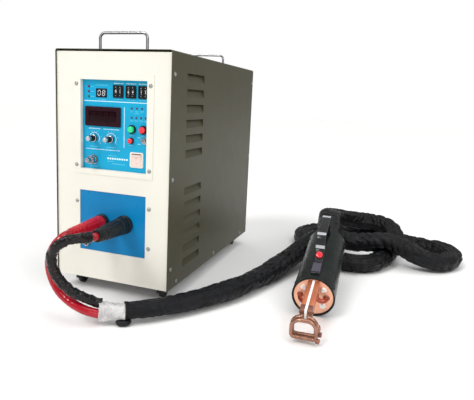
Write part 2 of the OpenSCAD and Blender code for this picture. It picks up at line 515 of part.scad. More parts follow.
// one planar loop of the coil in the plane y = yl, with an arched top
module loop(yl, open) {
    w = 24;
    top = 30;
    bot = -9.5;
    ra = 18;
    rb = 7;
    for (s = [-1, 1]) {
        zc(coil_r, bot + rb, top - ra, s * w, yl);
        translate([s * (w - ra), yl, top - ra]) rotate([90, 0, 0]) rotate([0, 0, s > 0 ? 0 : 90]) rotate_extrude(angle = 90, $fn = 64) translate([ra, 0]) circle(r = coil_r, $fn = 32);
        translate([s * (w - rb), yl, bot + rb]) rotate([90, 0, 0]) rotate([0, 0, s > 0 ? -90 : 180]) rotate_extrude(angle = 90, $fn = 64) translate([rb, 0]) circle(r = coil_r, $fn = 32);
    }
    xc(coil_r, -w + rb, w - rb, yl, bot);
    if (!open) xc(coil_r, -w + ra, w - ra, yl, top);
}
module work_coil() { color([0.70, 0.42, 0.32]) head() union() {
    loop(-120, true);
    loop(-131, false);
    for (s = [-1, 1]) {
        yc(coil_r, -120, -112, s * 7, 30);
        translate([s * 7, -120, 30]) sphere(r = coil_r, $fn = 32);
    }
    // bridge between the two turns, and the plugged tube ends
    yc(coil_r, -131, -120, -16, -9.5);
    xc(4.6, 25, 34, -120, -4);
    xc(4.6, 19, 33, -131, -11);
} }

// ---------- inside the cabinet ----------
module cold_plate() { color([0.70, 0.71, 0.72]) place() difference() {
    union() {
        bx([40, 180, z0 + 24], [250, 420, z0 + 54]);
        for (x = [52, 238], y = [192, 408]) zc(8, z0 + sheet, z0 + 24, x, y);
        for (y = [205, 315]) bx([70, y, z0 + 54], [220, y + 80, z0 + 84]);
    }
    for (x = water) yc(4, 179, 421, x, water_z + z0);
} }
module capacitor_bank() { color([0.30, 0.33, 0.38]) place() union() {
    bx([30, 60, z0 + sheet], [260, 160, z0 + 4.5]);
    for (x = [58, 116, 174, 232]) zc(26, z0 + 4.5, z0 + 120, x, 110);
    for (x = [58, 116, 174, 232]) zc(6, z0 + 120, z0 + 128, x, 110);
} }
module control_board() { color([0.08, 0.34, 0.20]) place() union() {
    for (x = [62, 228], y = [190, 410]) zc(3.5, z0 + 54, z0 + 102, x, y);
    bx([50, 182, z0 + 102], [240, 418, z0 + 103.6]);
    bx([70, 210, z0 + 103.6], [120, 262, z0 + 140]);
    bx([140, 210, z0 + 103.6], [166, 236, z0 + 122]);
    bx([178, 210, z0 + 103.6], [204, 236, z0 + 122]);
    for (x = [80, 104, 128]) zc(9, z0 + 103.6, z0 + 130, x, 380);
    bx([150, 300, z0 + 103.6], [190, 340, z0 + 108]);
} }
module cooling_fan() { color([0.10, 0.10, 0.10]) place() translate([fan[0], 0, fan[1] + z0]) difference() {
    yb = pr - sheet;
    union() {
        difference() {
            bx([-60, yb - 25, -60], [60, yb, 60]);
            yc(57, yb - 26, yb + 1, 0, 0, fn = 96);
        }
        yc(18, yb - 6, yb, 0, 0);
        for (a = [45:90:315]) rotate([0, a, 0]) bx([15, yb - 5, -3], [58, yb, 3]);
    }
    yc(2.05, yb - 7, yb - 1, 0, 0);
    for (x = [-52.5, 52.5], z = [-52.5, 52.5]) yc(2.2, yb - 26, yb + 1, x, z);
} }
module fan_rotor() { color([0.18, 0.18, 0.18]) place() translate([fan[0], 0, fan[1] + z0]) union() {
    yb = pr - sheet;
    yc(19, yb - 24, yb - 6.5, 0, 0);
    yc(2, yb - 8, yb - 1.5, 0, 0);
    for (a = [0:360 / 7:359]) rotate([0, a, 0]) translate([17, yb - 15, 0]) rotate([35, 0, 0]) translate([0, -0.8, -11]) cube([37, 1.6, 22]);
} }
module water_fittings() { color([0.78, 0.60, 0.30]) place() for (x = water) difference() {
    turned([[0, 420], [6, 420], [6, pr], [11, pr], [11, pr + 8], [7, pr + 9], [7, pr + 11], [6, pr + 12], [6, pr + 34], [5, pr + 35], [0, pr + 35]], x, water_z + z0);
    yc(4, 419, pr + 36, x, water_z + z0);
} }
module mains_gland() { color([0.08, 0.08, 0.08]) place() translate([gland[0], 0, gland[1] + z0]) difference() {
    union() {
        yc(12.5, pr - 12, pr + 2, 0, 0);
        yc(18, pr - 8, pr - sheet, 0, 0, fn = 6);
        yc(18, pr, pr + 7, 0, 0, fn = 6);
        turned([[0, pr + 6], [15, pr + 6], [15, pr + 18], [11, pr + 25], [0, pr + 25]], 0, 0);
    }
    yc(8, pr - 13, pr + 26, 0, 0);
} }

base_pan();
wrap_cover();
front_panel();
rear_panel();
control_bezel();
control_panel();
meter_housing();
display_board();
pushwheel_housings();
switch_bodies();
toggle_switch();
rocker_bezel();
control_socket();
output_panel();
output_sockets();
top_handles();
panel_screws();
cooling_fan();
cold_plate();
capacitor_bank();
control_board();
water_fittings();
mains_gland();
digit_wheel_1();
digit_wheel_2();
digit_wheel_3();
digit_wheel_4();
digit_wheel_5();
digit_wheel_6();
power_knob();
time_knob();
start_button();
stop_button();
reset_button();
toggle_lever();
rocker();
castor_fork_fl();
castor_fork_fr();
castor_fork_rl();
castor_fork_rr();
castor_wheel_fl();
castor_wheel_fr();
castor_wheel_rl();
castor_wheel_rr();
fan_rotor();
red_plug();
black_plug();
power_leads();
tape_joint();
hose_sleeve();
head_shell();
head_front_plate();
head_rear_cap();
head_handle();
trigger_button();
head_busbars();
bar_insulator();
work_coil();
face_bolts();
head_transformer();
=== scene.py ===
import bpy, bmesh, math, json, random
from mathutils import Vector, Matrix, noise, kdtree


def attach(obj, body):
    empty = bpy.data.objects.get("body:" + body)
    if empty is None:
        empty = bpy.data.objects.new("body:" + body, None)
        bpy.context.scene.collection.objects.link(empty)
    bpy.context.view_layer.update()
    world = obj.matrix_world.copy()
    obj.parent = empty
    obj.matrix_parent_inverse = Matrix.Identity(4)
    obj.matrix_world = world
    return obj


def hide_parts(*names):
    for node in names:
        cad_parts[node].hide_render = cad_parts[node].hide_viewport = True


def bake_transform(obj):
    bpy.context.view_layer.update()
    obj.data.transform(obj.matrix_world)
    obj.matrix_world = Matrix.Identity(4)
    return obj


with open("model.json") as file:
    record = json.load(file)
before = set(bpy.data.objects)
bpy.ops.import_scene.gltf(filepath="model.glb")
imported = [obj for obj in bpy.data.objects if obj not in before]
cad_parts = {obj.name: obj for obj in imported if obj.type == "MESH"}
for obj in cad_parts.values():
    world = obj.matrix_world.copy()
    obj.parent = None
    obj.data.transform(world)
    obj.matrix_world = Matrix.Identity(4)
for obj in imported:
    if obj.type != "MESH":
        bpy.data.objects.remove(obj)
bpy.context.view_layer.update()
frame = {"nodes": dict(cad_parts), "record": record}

# Everything below is worked out in millimetres from the cabinet's front left corner on the floor
# and brought to the shared frame (metres) by P().
OX, OY = 320.9, 271.7
Z0, ZT = 36.0, 556.0
PF, PF2, PR, CP = 3.0, 4.5, 557.0, 11.0


def P(x, y, z):
    return Vector(((x - OX) / 1000, (y - OY) / 1000, z / 1000))


ROW = Matrix.Translation(Vector((-OX / 1000, -OY / 1000, 0))) @ Matrix.Diagonal((0.001, 0.001, 0.001, 1))
HEAD = ROW @ Matrix.Translation(Vector((597, 91, 46.9))) @ Matrix.Rotation(math.radians(2.3), 4, "Z") @ Matrix.Rotation(math.radians(11), 4, "X")
HEAD_L = 250.0

# ------------------------------------------------------------------ camera
yaw, pitch, roll = 0.32407, 0.1522, 0.04646
F = Vector((-math.sin(yaw) * math.cos(pitch), math.cos(yaw) * math.cos(pitch), -math.sin(pitch)))
Rv = Vector((math.cos(yaw), math.sin(yaw), 0))
Uv = Rv.cross(F)
R2 = math.cos(roll) * Rv + math.sin(roll) * Uv
U2 = -math.sin(roll) * Rv + math.cos(roll) * Uv
cam_data = bpy.data.cameras.new("camera")
cam = bpy.data.objects.new("camera", cam_data)
bpy.context.scene.collection.objects.link(cam)
cam.matrix_world = Matrix((
    (R2.x, U2.x, -F.x, (741.5 - OX) / 1000),
    (R2.y, U2.y, -F.y, (-897.2 - OY) / 1000),
    (R2.z, U2.z, -F.z, 0.4566),
    (0, 0, 0, 1)))
cam_data.sensor_fit = "HORIZONTAL"
cam_data.sensor_width = 36
cam_data.lens = 36 * 475.99 / 474
cam_data.shift_y = -25 / 474
cam_data.clip_start, cam_data.clip_end = 0.02, 50
bpy.context.scene.camera = cam
bpy.context.scene.view_settings.view_transform = "Standard"


# ------------------------------------------------------------------ materials
def _mix(nt, fac, a, b):
    m = nt.nodes.new("ShaderNodeMix")
    m.data_type = "RGBA"
    m.inputs[6].default_value = a
    m.inputs[7].default_value = b
    nt.links.new(fac, m.inputs[0])
    return m.outputs[2]


def _ramp(nt, fac, lo, hi, a=0.0, b=1.0):
    r = nt.nodes.new("ShaderNodeMapRange")
    r.inputs[1].default_value, r.inputs[2].default_value = lo, hi
    r.inputs[3].default_value, r.inputs[4].default_value = a, b
    nt.links.new(fac, r.inputs[0])
    return r.outputs[0]


def _c(c, k=1.0):
    return (c[0] * k, c[1] * k, c[2] * k, 1)


def mat(name, color, rough=0.5, metal=0.0, var=0.12, var_scale=18.0, rvar=0.1, fine=900.0, bump=0.12, bump_d=0.0002,
        coarse=0.0, coarse_scale=40.0, stretch=(1, 1, 1), coat=0.0, coat_rough=0.1, sheen=0.0, spec=0.5, dust=0.0, dust_color=(0.6, 0.58, 0.54),
        kind="noise", second=None, second_amount=0.5, second_scale=8.0, emit=None, emit_power=0.0, alpha=1.0, trans=0.0):
    """Principled material whose colour, roughness and relief come from object-space noises."""
    m = bpy.data.materials.new(name)
    m.use_nodes = True
    nt = m.node_tree
    bs = nt.nodes["Principled BSDF"]
    L = nt.links.new
    tc = nt.nodes.new("ShaderNodeTexCoord")
    mp = nt.nodes.new("ShaderNodeMapping")
    mp.inputs["Scale"].default_value = stretch
    L(tc.outputs["Object"], mp.inputs[0])
    n1 = nt.nodes.new("ShaderNodeTexNoise")
    n1.inputs["Scale"].default_value = var_scale
    n1.inputs["Detail"].default_value = 6
    n1.inputs["Roughness"].default_value = 0.62
    L(mp.outputs[0], n1.inputs["Vector"])
    f1 = _ramp(nt, n1.outputs["Fac"], 0.3, 0.7)
    col = _mix(nt, f1, _c(color, 1 - var), _c(color, 1 + var))
    if second is not None:
        n3 = nt.nodes.new("ShaderNodeTexNoise")
        n3.inputs["Scale"].default_value = second_scale
        n3.inputs["Detail"].default_value = 8
        n3.inputs["Roughness"].default_value = 0.7
        L(mp.outputs[0], n3.inputs["Vector"])
        f3 = _ramp(nt, n3.outputs["Fac"], 0.45, 0.68, 0, second_amount)
        mm = nt.nodes.new("ShaderNodeMix")
        mm.data_type = "RGBA"
        L(f3, mm.inputs[0])
        L(col, mm.inputs[6])
        mm.inputs[7].default_value = _c(second)
        col = mm.outputs[2]
    if dust > 0:
        g = nt.nodes.new("ShaderNodeNewGeometry")
        sx = nt.nodes.new("ShaderNodeSeparateXYZ")
        L(g.outputs["Normal"], sx.inputs[0])
        up = _ramp(nt, sx.outputs[2], 0.35, 1.0, 0, 1)
        n4 = nt.nodes.new("ShaderNodeTexNoise")
        n4.inputs["Scale"].default_value = 35
        n4.inputs["Detail"].default_value = 7
        L(tc.outputs["Object"], n4.inputs["Vector"])
        f4 = _ramp(nt, n4.outputs["Fac"], 0.35, 0.75, 0, dust)
        mu = nt.nodes.new("ShaderNodeMath")
        mu.operation = "MULTIPLY"
        L(up, mu.inputs[0])
        L(f4, mu.inputs[1])
        md = nt.nodes.new("ShaderNodeMix")
        md.data_type = "RGBA"
        L(mu.outputs[0], md.inputs[0])
        L(col, md.inputs[6])
        md.inputs[7].default_value = _c(dust_color)
        col = md.outputs[2]
    L(col, bs.inputs["Base Color"])
    n2 = nt.nodes.new("ShaderNodeTexNoise")
    n2.inputs["Scale"].default_value = var_scale * 3.1
    n2.inputs["Detail"].default_value = 5
    L(mp.outputs[0], n2.inputs["Vector"])
    L(_ramp(nt, n2.outputs["Fac"], 0.3, 0.7, max(0.02, rough - rvar), min(1, rough + rvar)), bs.inputs["Roughness"])
    bs.inputs["Metallic"].default_value = metal
    bs.inputs["Specular IOR Level"].default_value = spec
    if coat:
        bs.inputs["Coat Weight"].default_value = coat
        bs.inputs["Coat Roughness"].default_value = coat_rough
    if sheen:
        bs.inputs["Sheen Weight"].default_value = sheen
        bs.inputs["Sheen Roughness"].default_value = 0.4
    if emit is not None:
        bs.inputs["Emission Color"].default_value = _c(emit)
        bs.inputs["Emission Strength"].default_value = emit_power
    if trans:
        bs.inputs["Transmission Weight"].default_value = trans
    if alpha < 1:
        bs.inputs["Alpha"].default_value = alpha
    h = None
    if kind == "voronoi":
        v = nt.nodes.new("ShaderNodeTexVoronoi")
        v.inputs["Scale"].default_value = fine
        L(mp.outputs[0], v.inputs["Vector"])
        h = v.outputs["Distance"]
    elif kind == "weave":
        # two crossed sets of threads, laid out in object space
        hs = []
        for ax in (0, 1, 2):
            w = nt.nodes.new("ShaderNodeTexWave")
            w.bands_direction = "XYZ"[ax]
            w.inputs["Scale"].default_value = fine
            w.inputs["Distortion"].default_value = 0.6
            L(mp.outputs[0], w.inputs["Vector"])
            hs.append(w.outputs["Fac"])
        a = nt.nodes.new("ShaderNodeMath")
        a.operation = "ADD"
        L(hs[0], a.inputs[0])
        L(hs[1], a.inputs[1])
        b = nt.nodes.new("ShaderNodeMath")
        b.operation = "ADD"
        L(a.outputs[0], b.inputs[0])
        L(hs[2], b.inputs[1])
        h = b.outputs[0]
    else:
        v = nt.nodes.new("ShaderNodeTexNoise")
        v.inputs["Scale"].default_value = fine
        v.inputs["Detail"].default_value = 3
        L(mp.outputs[0], v.inputs["Vector"])
        h = v.outputs["Fac"]
    bp = nt.nodes.new("ShaderNodeBump")
    bp.inputs["Strength"].default_value = bump
    bp.inputs["Distance"].default_value = bump_d
    L(h, bp.inputs["Height"])
    last = bp
    if coarse > 0:
        v2 = nt.nodes.new("ShaderNodeTexNoise")
        v2.inputs["Scale"].default_value = coarse_scale
        v2.inputs["Detail"].default_value = 4
        L(mp.outputs[0], v2.inputs["Vector"])
        b2 = nt.nodes.new("ShaderNodeBump")
        b2.inputs["Strength"].default_value = coarse
        b2.inputs["Distance"].default_value = 0.002
        L(v2.outputs["Fac"], b2.inputs["Height"])
        L(bp.outputs[0], b2.inputs["Normal"])
        last = b2
    L(last.outputs[0], bs.inputs["Normal"])
    return m


M = {
    # cabinet_paint: the wrap cover's dark olive-grey is painted shade, a cover of the front's cream tone darkened to
    # the shaded look of its sides
    "cabinet_paint": mat("cabinet_paint", (0.060, 0.056, 0.031), 0.38, var=0.03, var_scale=9, rvar=0.02, fine=1400, bump=0.25, bump_d=0.00012, second=(0.072, 0.068, 0.040), second_amount=0.10, second_scale=3.0, spec=0.22),
    "panel_cream": mat("panel_cream", (0.75, 0.73, 0.655), 0.40, var=0.02, var_scale=7, fine=1500, bump=0.2, bump_d=0.0001, second=(0.69, 0.67, 0.60), second_amount=0.22, second_scale=5),
    "panel_blue": mat("panel_blue", (0.0, 0.345, 0.58), 0.36, var=0.05, var_scale=12, fine=1800, bump=0.1, bump_d=0.00008, second=(0.003, 0.28, 0.53), second_amount=0.5, second_scale=6, spec=0.3),
    "insulating_sheet": mat("insulating_sheet", (0.002, 0.185, 0.43), 0.36, var=0.05, var_scale=10, fine=1200, bump=0.12, bump_d=0.0001, second=(0.004, 0.22, 0.46), second_amount=0.4, second_scale=5, spec=0.18),
    "black_plastic": mat("black_plastic", (0.010, 0.010, 0.011), 0.36, var=0.2, fine=1500, bump=0.25, bump_d=0.00012, spec=0.18),
    "cream_plastic": mat("cream_plastic", (0.80, 0.74, 0.66), 0.35, var=0.03, fine=1600, bump=0.1, bump_d=0.00006),
    "pink_plastic": mat("pink_plastic", (0.78, 0.62, 0.56), 0.3, var=0.04, fine=1600, bump=0.08, bump_d=0.00006, coat=0.2),
    "green_cap": mat("green_cap", (0.01, 0.58, 0.22), 0.22, var=0.08, fine=1200, bump=0.06, bump_d=0.00005, coat=0.5, emit=(0.0, 0.5, 0.2), emit_power=0.15),
    "red_cap": mat("red_cap", (0.72, 0.018, 0.03), 0.22, var=0.08, fine=1200, bump=0.06, bump_d=0.00005, coat=0.5),
    "red_rubber": mat("red_rubber", (0.46, 0.006, 0.016), 0.28, var=0.08, var_scale=30, fine=500, bump=0.12, bump_d=0.0002, coat=0.1, coat_rough=0.2, spec=0.3),
    "red_hose": mat("red_hose", (0.36, 0.003, 0.013), 0.15, var=0.10, var_scale=30, fine=300, bump=0.10, bump_d=0.0003, coarse=0.10, coarse_scale=70, coat=0.35, coat_rough=0.10, spec=0.3),
    "black_rubber": mat("black_rubber", (0.005, 0.007, 0.0075), 0.36, var=0.2, var_scale=30, fine=900, bump=0.2, bump_d=0.0002, spec=0.25),
    "black_wrap": mat("black_wrap", (0.0035, 0.0033, 0.0035), 0.26, var=0.3, var_scale=40, fine=700, bump=0.4, bump_d=0.0003, coarse=0.4, coarse_scale=110, second=(0.04, 0.008, 0.008), second_amount=0.25, second_scale=20, spec=0.30),
    "chrome_steel": mat("chrome_steel", (0.36, 0.36, 0.38), 0.20, 1.0, var=0.03, var_scale=25, rvar=0.05, fine=600, bump=0.03, bump_d=0.0001),
    "zinc_steel": mat("zinc_steel", (0.40, 0.40, 0.39), 0.34, 1.0, var=0.08, var_scale=40, rvar=0.1, fine=900, bump=0.08, bump_d=0.0001),
    "black_steel": mat("black_steel", (0.012, 0.012, 0.013), 0.34, 0.2, var=0.2, fine=900, bump=0.15, bump_d=0.0001, spec=0.3),
    "aluminium": mat("aluminium", (0.62, 0.60, 0.61), 0.30, 1.0, var=0.05, var_scale=20, fine=500, bump=0.1, stretch=(1, 12, 1)),
    "brass": mat("brass", (0.72, 0.50, 0.20), 0.24, 1.0, var=0.08, var_scale=50, fine=700, bump=0.06, bump_d=0.0001, second=(0.45, 0.28, 0.10), second_amount=0.35, second_scale=40),
    "copper": mat("copper", (0.78, 0.40, 0.27), 0.36, 0.85, var=0.08, var_scale=40, fine=700, bump=0.12, bump_d=0.0001, second=(0.66, 0.24, 0.13), second_amount=0.5, second_scale=14),
    "copper_plate": mat("copper_plate", (0.93, 0.52, 0.36), 0.38, 0.45, var=0.06, var_scale=30, fine=700, bump=0.12, bump_d=0.0001, second=(0.90, 0.40, 0.24), second_amount=0.55, second_scale=18),
    "copper_bar": mat("copper_bar", (0.62, 0.19, 0.09), 0.34, 0.55, var=0.10, var_scale=30, fine=600, bump=0.12, bump_d=0.0001, stretch=(1, 0.15, 1), second=(0.42, 0.10, 0.05), second_amount=0.6, second_scale=24),
    "copper_burnt": mat("copper_burnt", (0.30, 0.13, 0.09), 0.42, 0.6, var=0.2, var_scale=60, fine=700, bump=0.25, bump_d=0.0002, second=(0.09, 0.05, 0.05), second_amount=0.8, second_scale=50),
    "coil_copper": mat("coil_copper", (0.36, 0.18, 0.125), 0.27, 0.75, var=0.12, var_scale=60, fine=600, bump=0.12, bump_d=0.00015, second=(0.15, 0.07, 0.055), second_amount=0.65, second_scale=45),
    "circuit_board": mat("circuit_board", (0.015, 0.13, 0.05), 0.35, var=0.15, var_scale=90, fine=900, bump=0.2, coat=0.3),
    "capacitor_can": mat("capacitor_can", (0.08, 0.10, 0.16), 0.35, var=0.1, fine=900, bump=0.1),
    # sleeve_fabric: the lighter grey-blue patches of the second colour are a painted sheen on the black fabric
    "sleeve_fabric": mat("sleeve_fabric", (0.0016, 0.0017, 0.0021), 0.36, var=0.35, var_scale=30, rvar=0.14, kind="weave", fine=420, bump=0.35, bump_d=0.0004, coarse=0.6, coarse_scale=60, second=(0.012, 0.013, 0.020), second_amount=0.55, second_scale=6, spec=0.20),
    "clear_wrap": mat("clear_wrap", (0.44, 0.42, 0.425), 0.22, var=0.10, var_scale=60, fine=300, bump=0.3, bump_d=0.0006, coarse=0.5, coarse_scale=90, coat=0.6, second=(0.80, 0.79, 0.78), second_amount=0.5, second_scale=50),
    "ptfe": mat("ptfe", (0.88, 0.87, 0.84), 0.45, var=0.03, fine=900, bump=0.08),
    "castor_rubber": mat("castor_rubber", (0.012, 0.012, 0.012), 0.55, var=0.2, var_scale=60, fine=900, bump=0.3, bump_d=0.0002, second=(0.06, 0.058, 0.052), second_amount=0.25, second_scale=60, spec=0.25),
    "head_black": mat("head_black", (0.006, 0.010, 0.009), 0.28, var=0.25, var_scale=24, rvar=0.08, fine=800, bump=0.4, bump_d=0.00025, kind="voronoi", second=(0.022, 0.022, 0.022), second_amount=0.35, second_scale=10, spec=0.18),
    "meter_black": mat("meter_black", (0.022, 0.004, 0.008), 0.34, var=0.15, fine=1200, bump=0.2, bump_d=0.0001, spec=0.12),
    "meter_glass": mat("meter_glass", (0.008, 0.001, 0.003), 0.10, var=0.1, fine=200, bump=0.02, spec=0.10),
    "ink_white": mat("ink_white", (0.66, 0.84, 0.90), 0.5, var=0.04, fine=1500, bump=0.1, bump_d=0.00005),
    "ink_cyan": mat("ink_cyan", (0.16, 0.60, 0.76), 0.5, var=0.04, fine=1500, bump=0.1, bump_d=0.00005),
    "segment_on": mat("segment_on", (0.62, 0.62, 0.66), 0.35, var=0.04, fine=1500, bump=0.05, emit=(0.8, 0.85, 1.0), emit_power=0.10),
    "segment_off": mat("segment_off", (0.020, 0.003, 0.004), 0.3, var=0.1, fine=1500, bump=0.05, spec=0.1),
    # digit_white: white print on the digit wheels with a faint glow of its own, which is painted light; the wheels hold
    # no lamp
    "digit_white": mat("digit_white", (0.92, 0.92, 0.90), 0.45, var=0.03, fine=1500, bump=0.05, emit=(1, 1, 1), emit_power=0.15),
    "led_red": mat("led_red", (0.11, 0.010, 0.045), 0.15, var=0.1, fine=800, bump=0.03, spec=0.4),
    "led_green": mat("led_green", (0.012, 0.09, 0.05), 0.15, var=0.1, fine=800, bump=0.03, spec=0.4),
    "zinc_bright": mat("zinc_bright", (0.88, 0.88, 0.86), 0.30, 0.85, var=0.04, var_scale=40, fine=900, bump=0.06, bump_d=0.0001),
    # grey_tape: light grey for strips that are painted highlights on the grip's corners
    "grey_tape": mat("grey_tape", (0.42, 0.43, 0.46), 0.34, var=0.08, fine=900, bump=0.1, bump_d=0.0001, coat=0.3),
    "tube_copper": mat("tube_copper", (0.40, 0.075, 0.040), 0.26, 0.5, var=0.12, var_scale=40, fine=600, bump=0.12, bump_d=0.0001, second=(0.22, 0.035, 0.028), second_amount=0.6, second_scale=40),
    "grey_pad": mat("grey_pad", (0.060, 0.056, 0.084), 0.42, var=0.12, fine=900, bump=0.2, bump_d=0.00015),
    "head_black2": mat("head_black2", (0.010, 0.010, 0.012), 0.26, var=0.2, fine=900, bump=0.15, bump_d=0.0001, spec=0.35),
    "dark_inside": mat("dark_inside", (0.004, 0.004, 0.004), 0.6, var=0.2, fine=900, bump=0.1, spec=0.15),
}
for mm_ in M.values():
    mm_.use_backface_culling = False

# every CAD node that stays gets its slot's finished material
rec = frame["record"]
slot_of = {s["node"]: s["material_slot"] for s in rec["subparts"]}
for node_name, ob in frame["nodes"].items():
    ob.data.materials.clear()
    ob.data.materials.append(M[slot_of[node_name]])
for nn in ("castor_fork_fl", "castor_fork_fr", "castor_fork_rl", "castor_fork_rr"):
    frame["nodes"][nn].data.materials[0] = M["black_steel"]


# ------------------------------------------------------------------ mesh helpers
def new_obj(name, verts, faces, material, body, smooth=True, world=ROW, autosmooth=40):
    me = bpy.data.meshes.new(name)
    me.from_pydata([tuple(world @ Vector(v)) for v in verts], [], faces)
    me.update()
    bm = bmesh.new()
    bm.from_mesh(me)
    bmesh.ops.recalc_face_normals(bm, faces=bm.faces)
    bm.to_mesh(me)
    bm.free()
    ob = bpy.data.objects.new(name, me)
    bpy.context.scene.collection.objects.link(ob)
    for mtl in (material if isinstance(material, (list, tuple)) else [material]):
        me.materials.append(M[mtl] if isinstance(mtl, str) else mtl)
    if smooth:
        for p in me.polygons:
            p.use_smooth = True
        if autosmooth:
            me.set_sharp_from_angle(angle=math.radians(autosmooth))
    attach(ob, body)
    return ob


def join_mesh(parts):
    """several (verts, faces) into one"""
    V, Fc = [], []
    for v, f in parts:
        k = len(V)
        V += list(v)
        Fc += [tuple(i + k for i in q) for q in f]
    return V, Fc


def moved(part, m):
    return [m @ Vector(v) for v in part[0]], part[1]


def lathe_part(profile, n=64, closed=True):
    """profile of (radius, y) turned about Y"""
    V, Fc = [], []
    rings = []
    for r, y in profile:
        if r < 1e-6:
            rings.append([len(V)])
            V.append(Vector((0, y, 0)))
        else:
            rings.append(list(range(len(V), len(V) + n)))
            V += [Vector((r * math.cos(2 * math.pi * k / n), y, r * math.sin(2 * math.pi * k / n))) for k in range(n)]
    for a, b in zip(rings, rings[1:]):
        if len(a) == 1 and len(b) == 1:
            continue
        for k in range(n):
            k2 = (k + 1) % n
            if len(a) == 1:
                Fc.append((a[0], b[k], b[k2]))
            elif len(b) == 1:
                Fc.append((a[k], b[0], a[k2]))
            else:
                Fc.append((a[k], b[k], b[k2], a[k2]))
    return V, Fc


def rounded(profile, r=0.5, steps=3):
    """rounds the corners of an open profile"""
    out = [profile[0]]
    for i in range(1, len(profile) - 1):
        a, b, c = (Vector(profile[i - 1]), Vector(profile[i]), Vector(profile[i + 1]))
        d1, d2 = (a - b), (c - b)
        l1, l2 = d1.length, d2.length
        if l1 < 1e-6 or l2 < 1e-6:
            out.append(tuple(b))
            continue
        q = min(r, l1 * 0.45, l2 * 0.45)
        p1, p2 = b + d1 / l1 * q, b + d2 / l2 * q
        for k in range(steps + 1):
            t = k / steps
            out.append(tuple((1 - t) ** 2 * p1 + 2 * t * (1 - t) * b + t * t * p2))
    out.append(profile[-1])
    return out


def bev_box(lo, hi, r=0.6, seg=2):
    bm = bmesh.new()
    bmesh.ops.create_cube(bm, size=1)
    for v in bm.verts:
        v.co = Vector([lo[i] + (v.co[i] + 0.5) * (hi[i] - lo[i]) for i in range(3)])
    if r > 0:
        bmesh.ops.bevel(bm, geom=list(bm.edges), offset=r, segments=seg, affect="EDGES", profile=0.5)
    bm.verts.index_update()
    V = [v.co.copy() for v in bm.verts]
    Fc = [tuple(v.index for v in f.verts) for f in bm.faces]
    bm.free()
    return V, Fc


def prism(outline, y0, y1, bev=0.0, seg=2):
    """outline in the XZ plane, drawn out along Y and bevelled all round"""
    bm = bmesh.new()
    a = [bm.verts.new((x, y0, z)) for x, z in outline]
    f = bm.faces.new(a)
    ret = bmesh.ops.extrude_face_region(bm, geom=[f])
    for v in ret["geom"]:
        if isinstance(v, bmesh.types.BMVert):
            v.co.y = y1
    if bev > 0:
        es = [e for e in bm.edges if abs(e.verts[0].co.y - e.verts[1].co.y) < 1e-6]
        bmesh.ops.bevel(bm, geom=es, offset=bev, segments=seg, affect="EDGES", profile=0.5)
    bm.verts.index_update()
    V = [v.co.copy() for v in bm.verts]
    Fc = [tuple(v.index for v in g.verts) for g in bm.faces]
    bm.free()
    return V, Fc


def rrect(cx, cz, w, h, r, n=6):
    pts = []
    for sx, sz, a0 in ((1, 1, 0), (-1, 1, 90), (-1, -1, 180), (1, -1, 270)):
        for k in range(n + 1):
            a = math.radians(a0 + 90 * k / n)
            pts.append((cx + sx * (w / 2 - r) + r * math.cos(a), cz + sz * (h / 2 - r) + r * math.sin(a)))
    return pts


def frame_part(cx, cz, w, h, r, iw, ih, ir, y0, y1, chamfer=0.6, ioff=(0, 0), n=6):
    """picture-frame of rounded rectangles between y0 (front) and y1"""
    o = rrect(cx, cz, w, h, r, n)
    oc = rrect(cx, cz, w - 2 * chamfer, h - 2 * chamfer, max(0.05, r - chamfer), n)
    ic = rrect(cx + ioff[0], cz + ioff[1], iw + chamfer, ih + chamfer, ir + chamfer / 2, n)
    i_ = rrect(cx + ioff[0], cz + ioff[1], iw, ih, ir, n)
    loops = [[(x, y1, z) for x, z in o], [(x, y0 + chamfer, z) for x, z in o], [(x, y0, z) for x, z in oc], [(x, y0, z) for x, z in ic],
             [(x, y0 + chamfer / 2, z) for x, z in i_], [(x, y1, z) for x, z in i_]]
    N = len(o)
    V, Fc = [], []
    for lp in loops:
        V += [Vector(p) for p in lp]
    for a in range(len(loops)):
        b = (a + 1) % len(loops)
        for k in range(N):
            Fc.append((a * N + k, b * N + k, b * N + (k + 1) % N, a * N + (k + 1) % N))
    return V, Fc


def tube_part(path, radius, n=16, caps=True, closed=False):
    """swept tube; radius a number or a function of (i, t, angle)"""
    pts = [Vector(p) for p in path]
    N = len(pts)
    tans = []
    for i in range(N):
        a = pts[(i - 1) % N] if (closed or i > 0) else pts[0]
        b = pts[(i + 1) % N] if (closed or i < N - 1) else pts[-1]
        tans.append((b - a).normalized())
    up = Vector((0, 0, 1)) if abs(tans[0].z) < 0.9 else Vector((0, 1, 0))
    nrm = (up - up.dot(tans[0]) * tans[0]).normalized()
    V, Fc = [], []
    for i in range(N):
        if i:
            ax = tans[i - 1].cross(tans[i])
            if ax.length > 1e-9:
                nrm = Matrix.Rotation(tans[i - 1].angle(tans[i]), 3, ax.normalized()) @ nrm
            nrm = (nrm - nrm.dot(tans[i]) * tans[i]).normalized()
        bi = tans[i].cross(nrm)
        for k in range(n):
            a = 2 * math.pi * k / n
            r = radius(i, i / (N - 1), a) if callable(radius) else radius
            V.append(pts[i] + (math.cos(a) * nrm + math.sin(a) * bi) * r)
    for i in range(N if closed else N - 1):
        j = (i + 1) % N
        for k in range(n):
            k2 = (k + 1) % n
            Fc.append((i * n + k, i * n + k2, j * n + k2, j * n + k))
    if caps and not closed:
        Fc.append(tuple(range(n - 1, -1, -1)))
        Fc.append(tuple((N - 1) * n + k for k in range(n)))
    return V, Fc


def arc_pts(c, r, a0, a1, n, plane="xz", y=0.0):
    out = []
    for k in range(n + 1):
        a = math.radians(a0 + (a1 - a0) * k / n)
        if plane == "xz":
            out.append((c[0] + r * math.cos(a), y, c[1] + r * math.sin(a)))
    return out


